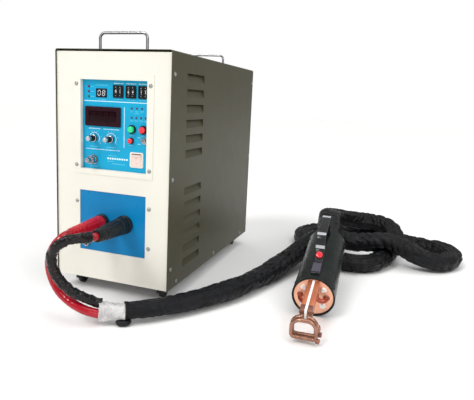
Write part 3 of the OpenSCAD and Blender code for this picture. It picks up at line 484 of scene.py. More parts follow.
def strip(x0, z0, x1, z1, w, y):
    d = Vector((x1 - x0, z1 - z0))
    n = Vector((-d.y, d.x)).normalized() * w / 2
    return [Vector((x0 + n.x, y, z0 + n.y)), Vector((x1 + n.x, y, z1 + n.y)), Vector((x1 - n.x, y, z1 - n.y)), Vector((x0 - n.x, y, z0 - n.y))], [(0, 1, 2, 3)]


def ring_flat(c, r0, r1, a0, a1, y, n=32):
    V, Fc = [], []
    for k in range(n + 1):
        a = math.radians(a0 + (a1 - a0) * k / n)
        V.append(Vector((c[0] + r0 * math.cos(a), y, c[1] + r0 * math.sin(a))))
        V.append(Vector((c[0] + r1 * math.cos(a), y, c[1] + r1 * math.sin(a))))
    for k in range(n):
        Fc.append((2 * k, 2 * k + 1, 2 * k + 3, 2 * k + 2))
    return V, Fc


_digit_cache = {}


def digit_part(ch, height):
    """a single digit as a flat mesh in the XZ plane, centred, facing -Y"""
    if ch not in _digit_cache:
        cu = bpy.data.curves.new("tmp_digit", "FONT")
        cu.body = ch
        cu.size = 1
        cu.resolution_u = 2
        ob = bpy.data.objects.new("tmp_digit", cu)
        bpy.context.scene.collection.objects.link(ob)
        bpy.context.view_layer.update()
        me = bpy.data.meshes.new_from_object(ob)
        V = [v.co.copy() for v in me.vertices]
        Fc = [tuple(p.vertices) for p in me.polygons]
        bpy.data.objects.remove(ob)
        bpy.data.curves.remove(cu)
        bpy.data.meshes.remove(me)
        lo = Vector((min(v.x for v in V), min(v.y for v in V)))
        hi = Vector((max(v.x for v in V), max(v.y for v in V)))
        s = 1 / (hi.y - lo.y)
        _digit_cache[ch] = ([Vector(((v.x - (lo.x + hi.x) / 2) * s, 0, (v.y - (lo.y + hi.y) / 2) * s)) for v in V], Fc)
    V, Fc = _digit_cache[ch]
    return [v * height for v in V], Fc


def at(part, x, y, z):
    return moved(part, Matrix.Translation(Vector((x, y, z))))


def spline(p, n):
    p = [Vector(q) for q in p]
    q = [2 * p[0] - p[1]] + p + [2 * p[-1] - p[-2]]
    out = []
    for i in range(len(p) - 1):
        for k in range(n):
            t = k / n
            out.append(((1 - t) ** 3 * q[i] + (3 * t ** 3 - 6 * t * t + 4) * q[i + 1] + (-3 * t ** 3 + 3 * t * t + 3 * t + 1) * q[i + 2] + t ** 3 * q[i + 3]) / 6)
    out.append(p[-1])
    return out


def resample(pts, step):
    L = [0]
    for a, b in zip(pts, pts[1:]):
        L.append(L[-1] + (b - a).length)
    n = max(2, round(L[-1] / step))
    out, j = [], 0
    for k in range(n + 1):
        s = L[-1] * k / n
        while j < len(L) - 2 and L[j + 1] < s:
            j += 1
        t = (s - L[j]) / (L[j + 1] - L[j])
        out.append(pts[j].lerp(pts[j + 1], t))
    return out, L[-1]


# ------------------------------------------------------------------ cords: leads, wrapped joint, sleeve
ZS = 138 + Z0
RED = [(121.5, -110.2, ZS), (121.5, -121, ZS), (119, -132, ZS - 4), (110, -139, ZS - 16), (100, -141, ZS - 34), (95, -140, ZS - 55), (96, -139, ZS - 73), (102, -139, 84), (112, -140, 69), (125, -142, 58), (143, -144, 48), (163, -145, 40), (186, -141, 31), (209, -130.4, 25)]
BLACK = [(179, -102.2, ZS), (179, -114, ZS + 0.5), (176.5, -128, ZS + 3), (171, -141, ZS + 6), (162, -151, ZS + 6), (149, -159, ZS + 2), (135, -164, ZS - 8), (124, -165, ZS - 22), (119.5, -164, ZS - 37), (121, -163, ZS - 53), (128, -162, ZS - 68), (139, -160, ZS - 83), (153, -157, 78), (167, -150, 67), (180, -139, 58), (191, -129, 49), (203, -119.6, 42.5)]
SLEEVE = [(247.4, -102, 27.6), (290, -68, 26), (350, 6, 25.5), (408, 106, 25.5), (444, 212, 25.5), (470, 318, 26), (502, 420, 50), (546, 490, 78), (604, 518, 70), (664, 528, 60),
    (722, 534, 78), (778, 528, 70), (830, 522, 44), (880, 538, 25.5), (914, 576, 25.5), (926, 628, 25.5), (912, 680, 25.5), (872, 714, 25.5), (810, 729, 25.5), (730, 733, 30),
    (650, 741, 33), (574, 752, 28), (514, 742, 25.5), (474, 706, 25.5), (462, 652, 25.5), (484, 602, 25.5), (520, 558, 25.5), (544, 506, 25.5), (572, 458, 25.5), (616, 428, 25.5),
    (664, 428, 25.5), (704, 454, 25.5), (724, 500, 25.5), (734, 550, 26), (750, 602, 36), (758, 652, 62), (740, 698, 78), (702, 724, 84), (652, 726, 86), (606, 698, 95),
    (574, 652, 106), (559, 600, 117), (560, 546, 126), (569, 488, 122), (579, 424, 111)]
END = HEAD @ Vector((0, HEAD_L + 22.4, 0))
SLEEVE.append((END.x * 1000 + OX, END.y * 1000 + OY, END.z * 1000))
PLUG_PIECES = []


def sleeve_mesh():
    """A loose woven sleeve round two hoses: it widens away from the wrapped joint, creases across
    where it bends, folds along where it is slack, and flattens where it lies on the floor or on itself."""
    centre, length = resample(spline(SLEEVE, 24), 3.2)
    N, n = len(centre), 72
    tan = [((centre[min(N - 1, i + 1)] - centre[max(0, i - 1)])).normalized() for i in range(N)]
    s = [length * i / (N - 1) for i in range(N)]
    # signed bend at each ring, smoothed, to crease the inner side
    bend = []
    for i in range(N):
        a, b = tan[max(0, i - 8)], tan[min(N - 1, i + 8)]
        bend.append((b - a) / 51.0)
    kd = kdtree.KDTree(N)
    for i, c in enumerate(centre):
        kd.insert(c, i)
    kd.balance()
    up = Vector((0, 0, 1))
    verts, faces = [], []
    for i in range(N):
        t = tan[i]
        side = t.cross(up).normalized()
        nr = side.cross(t).normalized()
        u = s[i] / length
        # half width and half heights: tight over the hoses at the joint, slack and flat-bellied later,
        # gathered round onto the head's neck at the far end
        g = min(1, s[i] / 430) ** 0.85
        wob = 0.9 * math.sin(s[i] / 83.0) + 0.8 * math.sin(s[i] / 37.0 + 1.3)
        lift = max(0.0, min(1.0, (centre[i].z - 30) / 25))
        rw = 16.2 + 14.2 * g + 1.6 * g * math.sin(s[i] / 131.0 + 0.6) + wob
        rt = 16.2 + 5.4 * g + 0.8 * wob
        rb = 16.2 + 8.9 * g + 6.6 * lift * g
        e = max(0.0, min(1.0, (s[i] - (length - 95)) / 70))
        e = e * e * (3 - 2 * e)
        rw, rt, rb = rw + (25.4 - rw) * e, rt + (25.4 - rt) * e, rb + (25.4 - rb) * e
        if s[i] < 10:
            rw, rt, rb = rw + (10 - s[i]) * 0.08, rt + (10 - s[i]) * 0.08, rb + (10 - s[i]) * 0.08
        inn = bend[i]
        slack = (0.35 + 0.65 * min(1, max(0, (s[i] - 100) / 420))) * (1 - 0.75 * e)
        near = [(co, j, d) for co, j, d in kd.find_range(centre[i], 68) if abs(s[j] - s[i]) > 110]
        for k in range(n):
            a = 2 * math.pi * k / n
            d = math.cos(a) * side + math.sin(a) * nr
            q = Vector((math.cos(a) * 1.1, math.sin(a) * 1.1, s[i] / 26))
            w1 = noise.noise(Vector((q.x * 0.9, q.y * 0.9, s[i] / 90.0 + 7)))
            # creases run across and slantwise
            ph = s[i] / 8.5 + 2.2 * math.sin(a + s[i] / 140) + 3.2 * noise.noise(Vector((q.x * 0.8, q.y * 0.8, s[i] / 60.0)))
            cr = 1 - abs(math.sin(ph))
            cr = cr ** 1.9 * max(0.0, 0.74 + 0.9 * noise.noise(Vector((q.x, q.y, s[i] / 45.0 + 31))))
            ph2 = s[i] / 17.0 - 1.7 * math.sin(a - 1 + s[i] / 90) + 2.6 * noise.noise(Vector((q.x * 0.7 + 5, q.y * 0.7, s[i] / 75.0)))
            cr += 0.8 * (1 - abs(math.sin(ph2))) ** 3 * max(0.0, 0.5 + noise.noise(Vector((q.x + 3, q.y, s[i] / 70.0 + 51))))
            inner = max(0.0, d.dot(inn) * 42)
            # long folds
            lf = 1 - abs(noise.noise(Vector((q.x * 1.7 + 9, q.y * 1.7, s[i] / 160.0 + 3)))) * 2.4
            ca, sa_ = abs(math.cos(a)), math.sin(a)
            rv = rt if sa_ > 0 else rb
            r0 = 1 / ((ca / rw) ** 2.3 + (abs(sa_) / rv) ** 2.3) ** (1 / 2.3)
            r = r0 + slack * (3.0 * w1 - 3.4 * max(0, lf) ** 2 + 0.8) - (1.3 + 2.6 * slack + 3.4 * min(1, inner)) * cr * (1 - 0.8 * e)
            r += 0.5 * noise.noise(Vector((q.x * 3.5, q.y * 3.5, s[i] / 9.0)))
            # the sewn closing seam stands up as a low ridge that wanders round
            sa = (a - (1.9 + 0.9 * math.sin(s[i] / 310.0))) % (2 * math.pi)
            sa = min(sa, 2 * math.pi - sa)
            r += (1.3 * math.exp(-(sa / 0.10) ** 2) - 0.9 * math.exp(-((sa - 0.22) / 0.09) ** 2)) * (1 - e)
            r = max(14.0, min(33.0, r))
            if e > 0.6:
                r += (25.5 - r) * (e - 0.6) / 0.4
            v = centre[i] + d * r
            for co, j, dist in near:
                w = v - co
                w -= w.dot(tan[j]) * tan[j]
                lw = w.length
                if lw < 23.4 and lw > 1e-6:
                    v += w / lw * (23.4 - lw) * 0.8
            if v.z < 0.5:
                v.z = 0.5 + 0.25 * noise.noise(Vector((v.x / 9, v.y / 9, 0)))
                v.z = max(0.3, v.z)
            verts.append(v)
    # the mouth is drawn over the head's neck and tied there
    t = tan[N - 1]
    side = t.cross(up).normalized()
    nr = side.cross(t).normalized()
    for e_, rr in ((2.5, 25.55), (5.5, 25.6), (8.5, 25.75), (10.2, 25.5), (11.8, 25.35), (13.0, 25.7), (14.0, 26.2)):
        for k in range(n):
            a = 2 * math.pi * k / n
            verts.append(centre[N - 1] + t * e_ + (math.cos(a) * side + math.sin(a) * nr) * (rr + 0.12 * math.sin(9 * a)))
    R_ = N + 7
    for i in range(R_ - 1):
        for k in range(n):
            k2 = (k + 1) % n
            faces.append((i * n + k, i * n + k2, (i + 1) * n + k2, (i + 1) * n + k))
    faces.append(tuple(range(n - 1, -1, -1)))
    ob = new_obj("hose_sleeve_cloth", verts, faces, "sleeve_fabric", "cabinet", autosmooth=0)
    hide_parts("hose_sleeve")
    path = [P(*c) for c in centre[::4]]
    if (path[-1] - P(*centre[-1])).length > 1e-6:
        path.append(P(*centre[-1]))
    return ob, path, length / 1000, centre, tan


sleeve, sleeve_path, sleeve_len, s_centre, s_tan = sleeve_mesh()

# the sleeve's inner lining at its mouth, a short tube inside the sleeve's last rings and over the head's neck
def neck_lining():
    idx = list(range(len(s_centre) - 40, len(s_centre)))
    n = 72
    V, Fc = [], []
    up = Vector((0, 0, 1))
    rings = [(s_centre[i], s_tan[i], 23.6 + 1.55 * min(1, max(0, (i - idx[0]) / 36))) for i in idx]
    rings += [(s_centre[-1] + s_tan[-1] * e_, s_tan[-1], 25.16) for e_ in (2, 4, 6, 8, 10, 12)]
    for c, t, r in rings:
        side = t.cross(up).normalized()
        nr = side.cross(t).normalized()
        k_ = len(V) // n
        for k in range(n):
            a = 2 * math.pi * k / n
            rr = r - 0.35 * (0.5 + 0.5 * math.sin(k_ * 1.15 + 1.5 * noise.noise(Vector((math.cos(a), math.sin(a), k_ / 6))))) * (1 if k_ < 36 else 0)
            V.append(c + (math.cos(a) * side + math.sin(a) * nr) * rr)
    for i in range(len(rings) - 1):
        for k in range(n):
            k2 = (k + 1) % n
            Fc.append((i * n + k, i * n + k2, (i + 1) * n + k2, (i + 1) * n + k))
    me = bpy.data.meshes.new("sleeve_neck_lining")
    me.from_pydata([tuple(ROW @ v) for v in V], [], Fc)
    me.update()
    ob = bpy.data.objects.new("sleeve_neck_lining", me)
    bpy.context.scene.collection.objects.link(ob)
    me.materials.append(M["sleeve_fabric"])
    for q in me.polygons:
        q.use_smooth = True
    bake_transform(ob)
    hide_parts("hose_sleeve")
    return ob


lining = neck_lining()

# red lead
red_c, red_len = resample(spline(RED, 24), 3.0)
part = tube_part(red_c, lambda i, t, a: 9.3 + 0.25 * noise.noise(Vector((math.cos(a), math.sin(a), t * 12))) + 0.12 * math.sin(t * 140), n=32)
red_lead = new_obj("red_lead", *part, "red_hose", "cabinet", autosmooth=60)
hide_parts("power_leads")

# black lead: red hose for its first 24 mm, then a loose spiral of black wrap
blk_c, blk_len = resample(spline(BLACK, 24), 2.0)


def wrap_r(i, t, a):
    s_ = t * blk_len
    if s_ < 17:
        return 8.4
    k = min(1, (s_ - 17) / 2.5)
    turn = (s_ / 21 + a / (2 * math.pi) + 0.25 * math.sin(s_ / 31)) % 1.0
    lap = 1.3 * (1 - turn) + (0.8 * max(0, 1 - abs(turn - 0.05) / 0.05))
    flare = 1.2 * math.exp(-((s_ - 23) / 7) ** 2)
    lump = 1.5 * noise.noise(Vector((math.cos(a) * 0.9, math.sin(a) * 0.9, s_ / 15))) + 0.9 * noise.noise(Vector((math.cos(a) * 2, math.sin(a) * 2, s_ / 6 + 5)))
    knot = 1.7 * max(0, math.sin(s_ / 10.5 + 1.2)) ** 6 * max(0, math.sin(a + 0.5)) * min(1, max(0, (s_ - 120) / 40))
    return min(13.6, 8.4 + k * (0.8 + lap + flare + lump + knot))


Vb, Fb = tube_part(blk_c, wrap_r, n=48)
black_lead = new_obj("black_lead", Vb, Fb, ["black_wrap", "red_hose"], "cabinet", autosmooth=50)
for p in black_lead.data.polygons:
    ring = min(v // 48 for v in p.vertices)
    if ring * 2.0 < 16.5 and len(p.vertices) == 4:
        p.material_index = 1
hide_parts("power_leads")


# wrapped joint: clear and white wrap drawn over both leads, round at the sleeve's end
def wrap_joint():
    a0, a1 = Vector((204.0, -126.1, 27.4)), Vector((249.5, -100.9, 26.2))
    ax = (a1 - a0).normalized()
    side = ax.cross(Vector((0, 0, 1))).normalized()
    upv = side.cross(ax).normalized()
    N, n = 60, 84
    V, Fc = [], []
    for i in range(N + 1):
        t = i / N
        c = a0.lerp(a1, t)
        bl = min(1, max(0, (t - 0.10) / 0.60))
        bl = bl * bl * (3 - 2 * bl)
        # loose and tall where the two leads come in, drawn round at the sleeve's end
        rw, ru, rd = 15.6 + 0.4 * bl, 20.0 - 3.6 * bl, 18.0 - 1.8 * bl
        for k in range(n):
            a = 2 * math.pi * k / n
            ca, sa = abs(math.cos(a)), math.sin(a)
            rv = ru if sa > 0 else rd
            pw = 2.9 - 0.8 * bl
            r = 1 / ((ca / rw) ** pw + (abs(sa) / rv) ** pw) ** (1 / pw)
            layer = (t * 4.2 + 0.30 * a / (2 * math.pi)) % 1.0
            r += 0.9 * (1 - layer) + 0.9 * noise.noise(Vector((math.cos(a) * 2, math.sin(a) * 2, t * 7))) + 0.5 * noise.noise(Vector((math.cos(a) * 5, math.sin(a) * 5, t * 16)))
            cr = 1 - abs(math.sin(t * 31 + 2.5 * math.sin(a * 2 + 1) + 3 * noise.noise(Vector((math.cos(a) * 1.5, math.sin(a) * 1.5, t * 5 + 4)))))
            r -= 0.9 * cr ** 3
            # ragged cut edge at the leads' end
            tt = 0
            if i == 0:
                tt = -1.6 * noise.noise(Vector((math.cos(a) * 3, math.sin(a) * 3, 9)))
            v = c + ax * tt + (math.cos(a) * side + math.sin(a) * upv) * r
            v.z = max(v.z, 0.6)
            V.append(v)
    for i in range(N):
        for k in range(n):
            k2 = (k + 1) % n
            Fc.append((i * n + k, i * n + k2, (i + 1) * n + k2, (i + 1) * n + k))
    # turned-in ends
    for base, c, tt in ((0, a0, -1), (N * n, a1, 1)):
        k0 = len(V)
        for k in range(n):
            V.append(c + (V[base + k] - c) * 0.86 - ax * tt * 1.0)
        for k in range(n):
            k2 = (k + 1) % n
            Fc.append((base + k, base + k2, k0 + k2, k0 + k))
        Fc.append(tuple(k0 + k for k in range(n)))
    return new_obj("joint_wrap", V, Fc, "clear_wrap", "cabinet", autosmooth=35)


joint = wrap_joint()
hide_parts("tape_joint")
# the rubber foot strapped under the joint's right-hand end
jm = Matrix.Translation(Vector((248.5, -107.5, 0))) @ Matrix.Rotation(math.radians(29), 4, "Z")
foot_profile = rounded([(0, 0.4), (10.5, 0.4), (14.0, 2.4), (15.4, 6.5), (14.0, 10.6), (9, 13.2), (0, 13.8)], 2.2, 4)
fv, ff = lathe_part([(r, z) for r, z in foot_profile], 56)
fv = [Vector((v.x * (1.04 + 0.03 * math.sin(5 * math.atan2(v.z, v.x))), v.z * 0.86, v.y)) for v in fv]
foot = new_obj("joint_foot", *moved((fv, ff), jm), "black_rubber", "cabinet", autosmooth=50)
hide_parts("tape_joint")


# plugs
def fluted_lathe(profile, n, flutes, depth, y_from, y_to):
    V, Fc = lathe_part(profile, n)
    out = []
    for v in V:
        r = math.hypot(v.x, v.z)
        if r > 1e-6 and min(y_from, y_to) <= v.y <= max(y_from, y_to):
            a = math.atan2(v.z, v.x)
            f = (math.cos(a * flutes) * 0.5 + 0.5) ** 3
            e = min(1, (v.y - min(y_from, y_to)) / 4, (max(y_from, y_to) - v.y) / 4)
            k = (r - depth * f * max(0, e)) / r
            v = Vector((v.x * k, v.y, v.z * k))
        out.append(v)
    return out, Fc


def dense(profile, step):
    out = []
    for a, b in zip(profile, profile[1:]):
        L = math.hypot(a[0] - b[0], a[1] - b[1])
        k = max(1, int(L / step))
        out += [(a[0] + (b[0] - a[0]) * j / k, a[1] + (b[1] - a[1]) * j / k) for j in range(k)]
    return out + [profile[-1]]


bp = [(0, 24), (9.9, 24), (9.9, -5.7), (17.6, -5.7), (19.2, -6.4), (19.3, -12), (18.6, -12.6), (18.6, -13.6), (19.3, -14.2), (19.3, -23), (18.4, -24), (17.6, -24.4), (17.6, -28), (18.6, -28.6), (18.7, -32),
      (18.0, -42), (17.0, -58), (15.6, -76), (15.0, -80), (13.9, -80.4), (13.9, -83.4), (14.7, -84), (14.4, -89.5), (13.5, -90), (13.5, -93), (14.1, -93.6), (13.6, -98), (12.6, -101.2), (8.6, -101.8), (0, -101.8)]
black_plug = new_obj("black_plug_body", *at(fluted_lathe(dense(rounded(bp, 0.5), 2.2), 128, 12, 1.3, -33, -78), 179, 0, ZS), "black_rubber", "cabinet", autosmooth=45)
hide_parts("black_plug")
rp = [(0, 24), (9.9, 24), (9.9, -5.7), (14.4, -5.7), (16.2, -7), (16.3, -16), (15.5, -17.4), (15.6, -19), (16.0, -20), (15.9, -28), (15.3, -40), (14.3, -54), (13.3, -68), (12.6, -77),
      (11.3, -78), (11.3, -80.5), (12.3, -81.4), (12.1, -86), (10.9, -87), (10.9, -89.4), (11.9, -90.3), (11.7, -95), (10.4, -96), (10.4, -98.4), (11.3, -99.3), (11.1, -106), (10.4, -109.4), (9.4, -109.8), (0, -109.8)]
red_plug = new_obj("red_plug_body", *at(fluted_lathe(dense(rounded(rp, 0.6), 2.4), 120, 9, 0.5, -22, -70), 121.5, 0, ZS), "red_rubber", "cabinet", autosmooth=45)
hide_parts("red_plug")


# ------------------------------------------------------------------ control panel
def zz(p):
    return (p[0], p[1] + Z0)


LED_COL = [(80.5, 440), (80.5, 429), (80.5, 418)]
LED_A = [(190, 396.5), (202.5, 396.5), (215, 396.5)]
LED_B = [(190, 376.5), (201.5, 376.5), (213, 376.5), (224.5, 376.5)]
KNOBS = {"power_knob": (95.5, 326), "time_knob": (138.5, 326)}

ink, ink2 = [], []
YI = CP - 0.06
# rule lines of the printed panel
ink.append(strip(68, 408.5 + Z0, 229, 408.5 + Z0, 1.5, YI))
ink.append(strip(171.5, 309 + Z0, 171.5, 398 + Z0, 1.3, YI))
# tick marks and numbers round the two knobs
for cx, cz in KNOBS.values():
    ink.append(ring_flat((cx, cz + Z0), 12.3, 13.3, -35, 215, YI, 40))
    for k in range(11):
        a = math.radians(-35 + 25 * k)
        r1 = 15.6 if k % 5 == 0 else 14.6
        ink.append(strip(cx + 13.2 * math.cos(a), cz + Z0 + 13.2 * math.sin(a), cx + r1 * math.cos(a), cz + Z0 + 13.2 * math.sin(a) + (r1 - 13.2) * math.sin(a), 0.5, YI))
        if k % 2 == 0:
            ink.append(at(digit_part(str((10 - k) // 2 if k < 10 else 0), 2.3), cx + 17.6 * math.cos(a), YI, cz + Z0 + 17.6 * math.sin(a)))


def dashes(cx, cz, w, h, seed, n=None, into=ink):
    """a bare row of short bars where the real panel has lettering"""
    rnd = random.Random(seed)
    x = cx - w / 2
    while x < cx + w / 2 - 0.6:
        d = rnd.uniform(0.9, 2.4)
        d = min(d, cx + w / 2 - x)
        into.append(strip(x, cz + Z0, x + d, cz + Z0, h * rnd.uniform(0.7, 1.0), YI))
        x += d + rnd.uniform(0.5, 0.9)


dashes(113, 443.5, 30, 1.5, 1, into=ink2)
dashes(114, 412.5, 20, 1.2, 2, into=ink2)
for i, x in enumerate((156.5, 188, 217)):
    dashes(x, 448.3, 24 if i < 2 else 21, 2.0, 3 + i)
    dashes(x, 414.0, 20 if i < 2 else 17, 1.4, 7 + i, into=ink2)
for i, z in enumerate((440, 429, 418)):
    dashes(89.5, z, 10, 1.3, 11 + i, into=ink2)
for i, (x, z) in enumerate(LED_A + LED_B):
    dashes(x, z - 5.6, 8.0, 1.1, 15 + i, into=ink2)
    dashes(x, z - 8.0, 6.0, 1.0, 25 + i, into=ink2)
dashes(202.5, 385.5, 14, 1.1, 35, into=ink2)
dashes(95.5, 347.6, 30, 2.0, 41)
dashes(138.5, 347.6, 40, 2.0, 42)
dashes(94, 307.5, 22, 1.6, 43, into=ink2)
dashes(138.5, 307.5, 24, 1.6, 44, into=ink2)
dashes(117, 301.5, 88, 1.8, 45)
dashes(94, 262.5, 22, 1.5, 46, into=ink2)
dashes(191.5, 337.5, 12, 1.2, 47, into=ink2)
dashes(219.5, 337.5, 12, 1.2, 48, into=ink2)
dashes(189.5, 315.5, 13, 1.2, 49, into=ink2)
dashes(209, 334, 7, 1.4, 50)
dashes(209, 320, 7, 1.4, 51)
# the name plate's place: plain generic bars
dashes(142, 289.5, 22, 1.4, 52, into=ink2)
for k in range(9):
    ink.append(strip(129 + k * 6.0, 283 + Z0, 129 + k * 6.0 + 4.3, 283 + Z0, 3.6, YI))
dashes(137, 276.8, 16, 1.3, 53, into=ink2)
dashes(158, 271.5, 34, 1.6, 54, into=ink2)
panel_ink = new_obj("panel_marks", *join_mesh(ink), "ink_white", "cabinet", smooth=False)
panel_ink2 = new_obj("panel_small_marks", *join_mesh(ink2), "ink_cyan", "cabinet", smooth=False)

# display board: carrier boards, three LEDs, two LED rows and a two-digit display
brd = [bev_box((72, 17, Z0 + 408), (134, 18.6, Z0 + 449), 0.3, 1), bev_box((183, 17, Z0 + 370), (231, 18.6, Z0 + 403), 0.3, 1)]
for x in (75, 131):
    for z in (411.5, 446):
        brd.append(at(lathe_part([(0, 13), (2, 13), (2, 17), (0, 17)], 24), x, 0, z + Z0))
o = new_obj("display_boards", *join_mesh(brd), "circuit_board", "cabinet")
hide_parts("display_board")


def led(r, y0=17):
    pr_ = [(0, 10.2 - r * 0.95)] + [(r * math.sin(math.radians(a)), 10.2 - r * 0.95 * math.cos(math.radians(a))) for a in range(12, 91, 13)] + [(r, 11.0), (r, y0 - 2.2), (r * 1.15, y0 - 2.2), (r * 1.15, y0), (0, y0)]
    return lathe_part(pr_, 28)


for nm, pts, mt in (("status_leds", LED_COL[:2], "led_red"), ("status_led_green", LED_COL[2:], "led_green"), ("fault_leds", LED_A + LED_B, "led_red")):
    r = 2.5 if "status" in nm else 2.0
    o = new_obj(nm, *join_mesh([at(led(r), x, 0, z + Z0) for x, z in pts]), mt, "cabinet")
    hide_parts("display_board")
case = join_mesh([frame_part(113.5, 426.5 + Z0, 27, 19, 0.6, 24.6, 16.6, 0.4, 9.3, 17, 0.4), bev_box((101, 10.4, Z0 + 417.8), (126, 16.8, Z0 + 435.2), 0, 1)])
o = new_obj("two_digit_case", *case, "black_plastic", "cabinet")
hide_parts("display_board")
SEG = {"a": (0, 1, 0), "b": (1, 0.5, 1), "c": (1, -0.5, 1), "d": (0, -1, 0), "e": (-1, -0.5, 1), "f": (-1, 0.5, 1), "g": (0, 0, 0)}
ON = {"0": "abcdef", "1": "bc", "2": "abged", "3": "abgcd", "4": "fgbc", "5": "afgcd", "6": "afgedc", "7": "abc", "8": "abcdefg", "9": "abcdfg"}


def seven(ch, cx, cz, w, h, t, y, want_on):
    """the lit or unlit bars of one seven-bar digit"""
    out = []
    for s_, (dx, dz, vert) in SEG.items():
        if (s_ in ON.get(ch, "")) != want_on:
            continue
        x0, z0 = cx + dx * w / 2, cz + dz * h / 2
        L = (h / 2 if vert else w) / 2 - t * 0.45
        ht = t / 2
        if vert:
            q = [(-ht, -L + ht), (0, -L), (ht, -L + ht), (ht, L - ht), (0, L), (-ht, L - ht)]
        else:
            q = [(-L + ht, -ht), (L - ht, -ht), (L, 0), (L - ht, ht), (-L + ht, ht), (-L, 0)]
        out.append(([Vector((x0 + a + (z0 + b - cz) * 0.10, y, z0 + b)) for a, b in q], [tuple(range(6))]))
    return out


lit = seven("0", 107.6, 426.5 + Z0, 6.2, 11.4, 1.5, 10.3, True) + seven("8", 119.2, 426.5 + Z0, 6.2, 11.4, 1.5, 10.3, True)
o = new_obj("two_digit_bars", *join_mesh(lit), "segment_on", "cabinet", smooth=False)
dark = seven("0", 107.6, 426.5 + Z0, 6.2, 11.4, 1.5, 10.3, False)
o = new_obj("two_digit_dark_bars", *join_mesh(dark), "segment_off", "cabinet", smooth=False)

# panel meter
mx, mz = 118, 375 + Z0
o = new_obj("meter_frame", *join_mesh([frame_part(mx, mz, 90, 43, 2.2, 74, 27, 1.0, 6.2, CP, 1.2, ioff=(0, 0.5)), bev_box((mx - 42, CP, mz - 19), (mx + 42, 48, mz + 19), 0.8, 2),
                                       frame_part(mx, mz + 0.5, 74.2, 27.2, 1.0, 70, 23, 0.8, 7.4, 9.0, 0.3)]), "meter_black", "cabinet")
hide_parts("meter_housing")
o = new_obj("meter_window", *bev_box((mx - 36.5, 7.9, mz - 12.6), (mx + 36.5, 9.2, mz + 13.6), 0.3, 2), "meter_glass", "cabinet")
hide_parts("meter_housing")
md = []
for i, ch in enumerate(("8", "8", "8", "8")):
    md += seven(ch, mx - 24 + i * 16, mz + 0.5, 8.2, 14.5, 1.8, 7.82, True)
o = new_obj("meter_unlit_bars", *join_mesh(md), "segment_off", "cabinet", smooth=False)

# digit switches: housing with a window over each wheel and a stepping key above and below it
hs = []
for x in (156.5, 188, 219):
    cz = 431 + Z0
    hs.append(frame_part(x, cz, 25, 27, 1.2, 20.4, 22.6, 0.6, 7.6, CP, 0.7))
    hs.append(bev_box((x - 11.5, CP, cz - 12.5), (x + 11.5, 36, cz - 11.7), 0.2, 1))
    hs.append(bev_box((x - 11.5, CP, cz + 11.7), (x + 11.5, 36, cz + 12.5), 0.2, 1))
    for sx in (-11.5, -0.8, 9.6):
        hs.append(bev_box((x + sx, 8.6, cz - 12.2), (x + sx + (1.9 if sx != -0.8 else 1.6), 35, cz + 12.2), 0.2, 1))
    for s_ in (-1, 1):
        for v in (-1, 1):
            # dished stepping key
            hs.append(bev_box((x + s_ * 5.2 - 4.1, 8.0, cz + v * 8.6 - 2.7), (x + s_ * 5.2 + 4.1, 12, cz + v * 8.6 + 2.7), 0.5, 2))
        hs.append(bev_box((x + s_ * 5.2 - 4.3, 8.7, cz + 4.9), (x + s_ * 5.2 + 4.3, 10, cz + 5.6), 0.15, 1))
        hs.append(bev_box((x + s_ * 5.2 - 4.3, 8.7, cz - 5.6), (x + s_ * 5.2 + 4.3, 10, cz - 4.9), 0.15, 1))
o = new_obj("digit_switch_cases", *join_mesh(hs), "black_plastic", "cabinet")
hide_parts("pushwheel_housings")
kk = []
for x in (156.5, 188, 219):
    for s_ in (-1, 1):
        for v in (-1, 1):
            cx, cz = x + s_ * 5.2, 431 + Z0 + v * 8.6
            kk.append(strip(cx - 1.1, cz, cx + 1.1, cz, 0.45, 7.94))
            if v > 0:
                kk.append(strip(cx, cz - 1.1, cx, cz + 1.1, 0.45, 7.94))
o = new_obj("digit_switch_marks", *join_mesh(kk), "ink_white", "cabinet", smooth=False)
shown = ["0", "1", "6", "4", "1", "3"]
for i in range(6):
    x = (156.5, 188, 219)[i // 2] + (5.2 if i % 2 else -5.2)
    nm = "digit_wheel_%d" % (i + 1)
    prts = []
    for k in range(10):
        ch = str((int(shown[i]) + k) % 10)
        # flats of the ten-sided wheel stand 10.46 mm from its axis
        m_ = Matrix.Translation(Vector((x, 18.8, 431 + Z0))) @ Matrix.Rotation(math.radians(36 * k), 4, "X") @ Matrix.Translation(Vector((0, -10.5, 0)))
        prts.append(moved(digit_part(ch, 5.2), m_))
    o = new_obj(nm + "_numbers", *join_mesh(prts), "digit_white", nm, smooth=False)

# knobs
for nm, (cx, cz) in KNOBS.items():
    body = fluted_lathe(dense(rounded([(0, 9.2), (7.9, 9.2), (7.9, 6.9), (7.3, 6.2), (7.3, 5.2), (6.9, 4.6), (6.8, -5.2), (6.3, -6.4), (5.2, -6.6), (0, -6.6)], 0.4), 1.0), 120, 24, 0.55, -5.0, 4.2)
    shaft = lathe_part([(0, 9), (3, 9), (3, 28), (0, 28)], 28)
    o = new_obj(nm + "_grip", *at(join_mesh([body, shaft]), cx, 0, cz + Z0), "black_plastic", nm)
    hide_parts(nm)
    ring = lathe_part(rounded([(0, 6.0), (7.75, 6.0), (7.95, 5.6), (7.95, 4.9), (7.2, 4.5), (0, 4.5)], 0.2), 72)
    cap = lathe_part(rounded([(0, -6.0), (5.3, -6.0), (5.35, -13.6), (4.9, -14.6), (4.0, -15.0), (0, -14.7)], 0.5), 64)
    o = new_obj(nm + "_silver", *at(join_mesh([ring, cap]), cx, 0, cz + Z0), "aluminium", nm)
    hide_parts(nm)
    o = new_obj(nm + "_pointer", *join_mesh([bev_box((cx - 0.5, -15.05, cz + Z0 + 0.6), (cx + 0.5, -14.55, cz + Z0 + 4.4), 0.1, 1), bev_box((cx - 0.45, -5.2, cz + Z0 + 6.35), (cx + 0.45, 4.0, cz + Z0 + 6.95), 0.1, 1)]), "ink_white", nm)

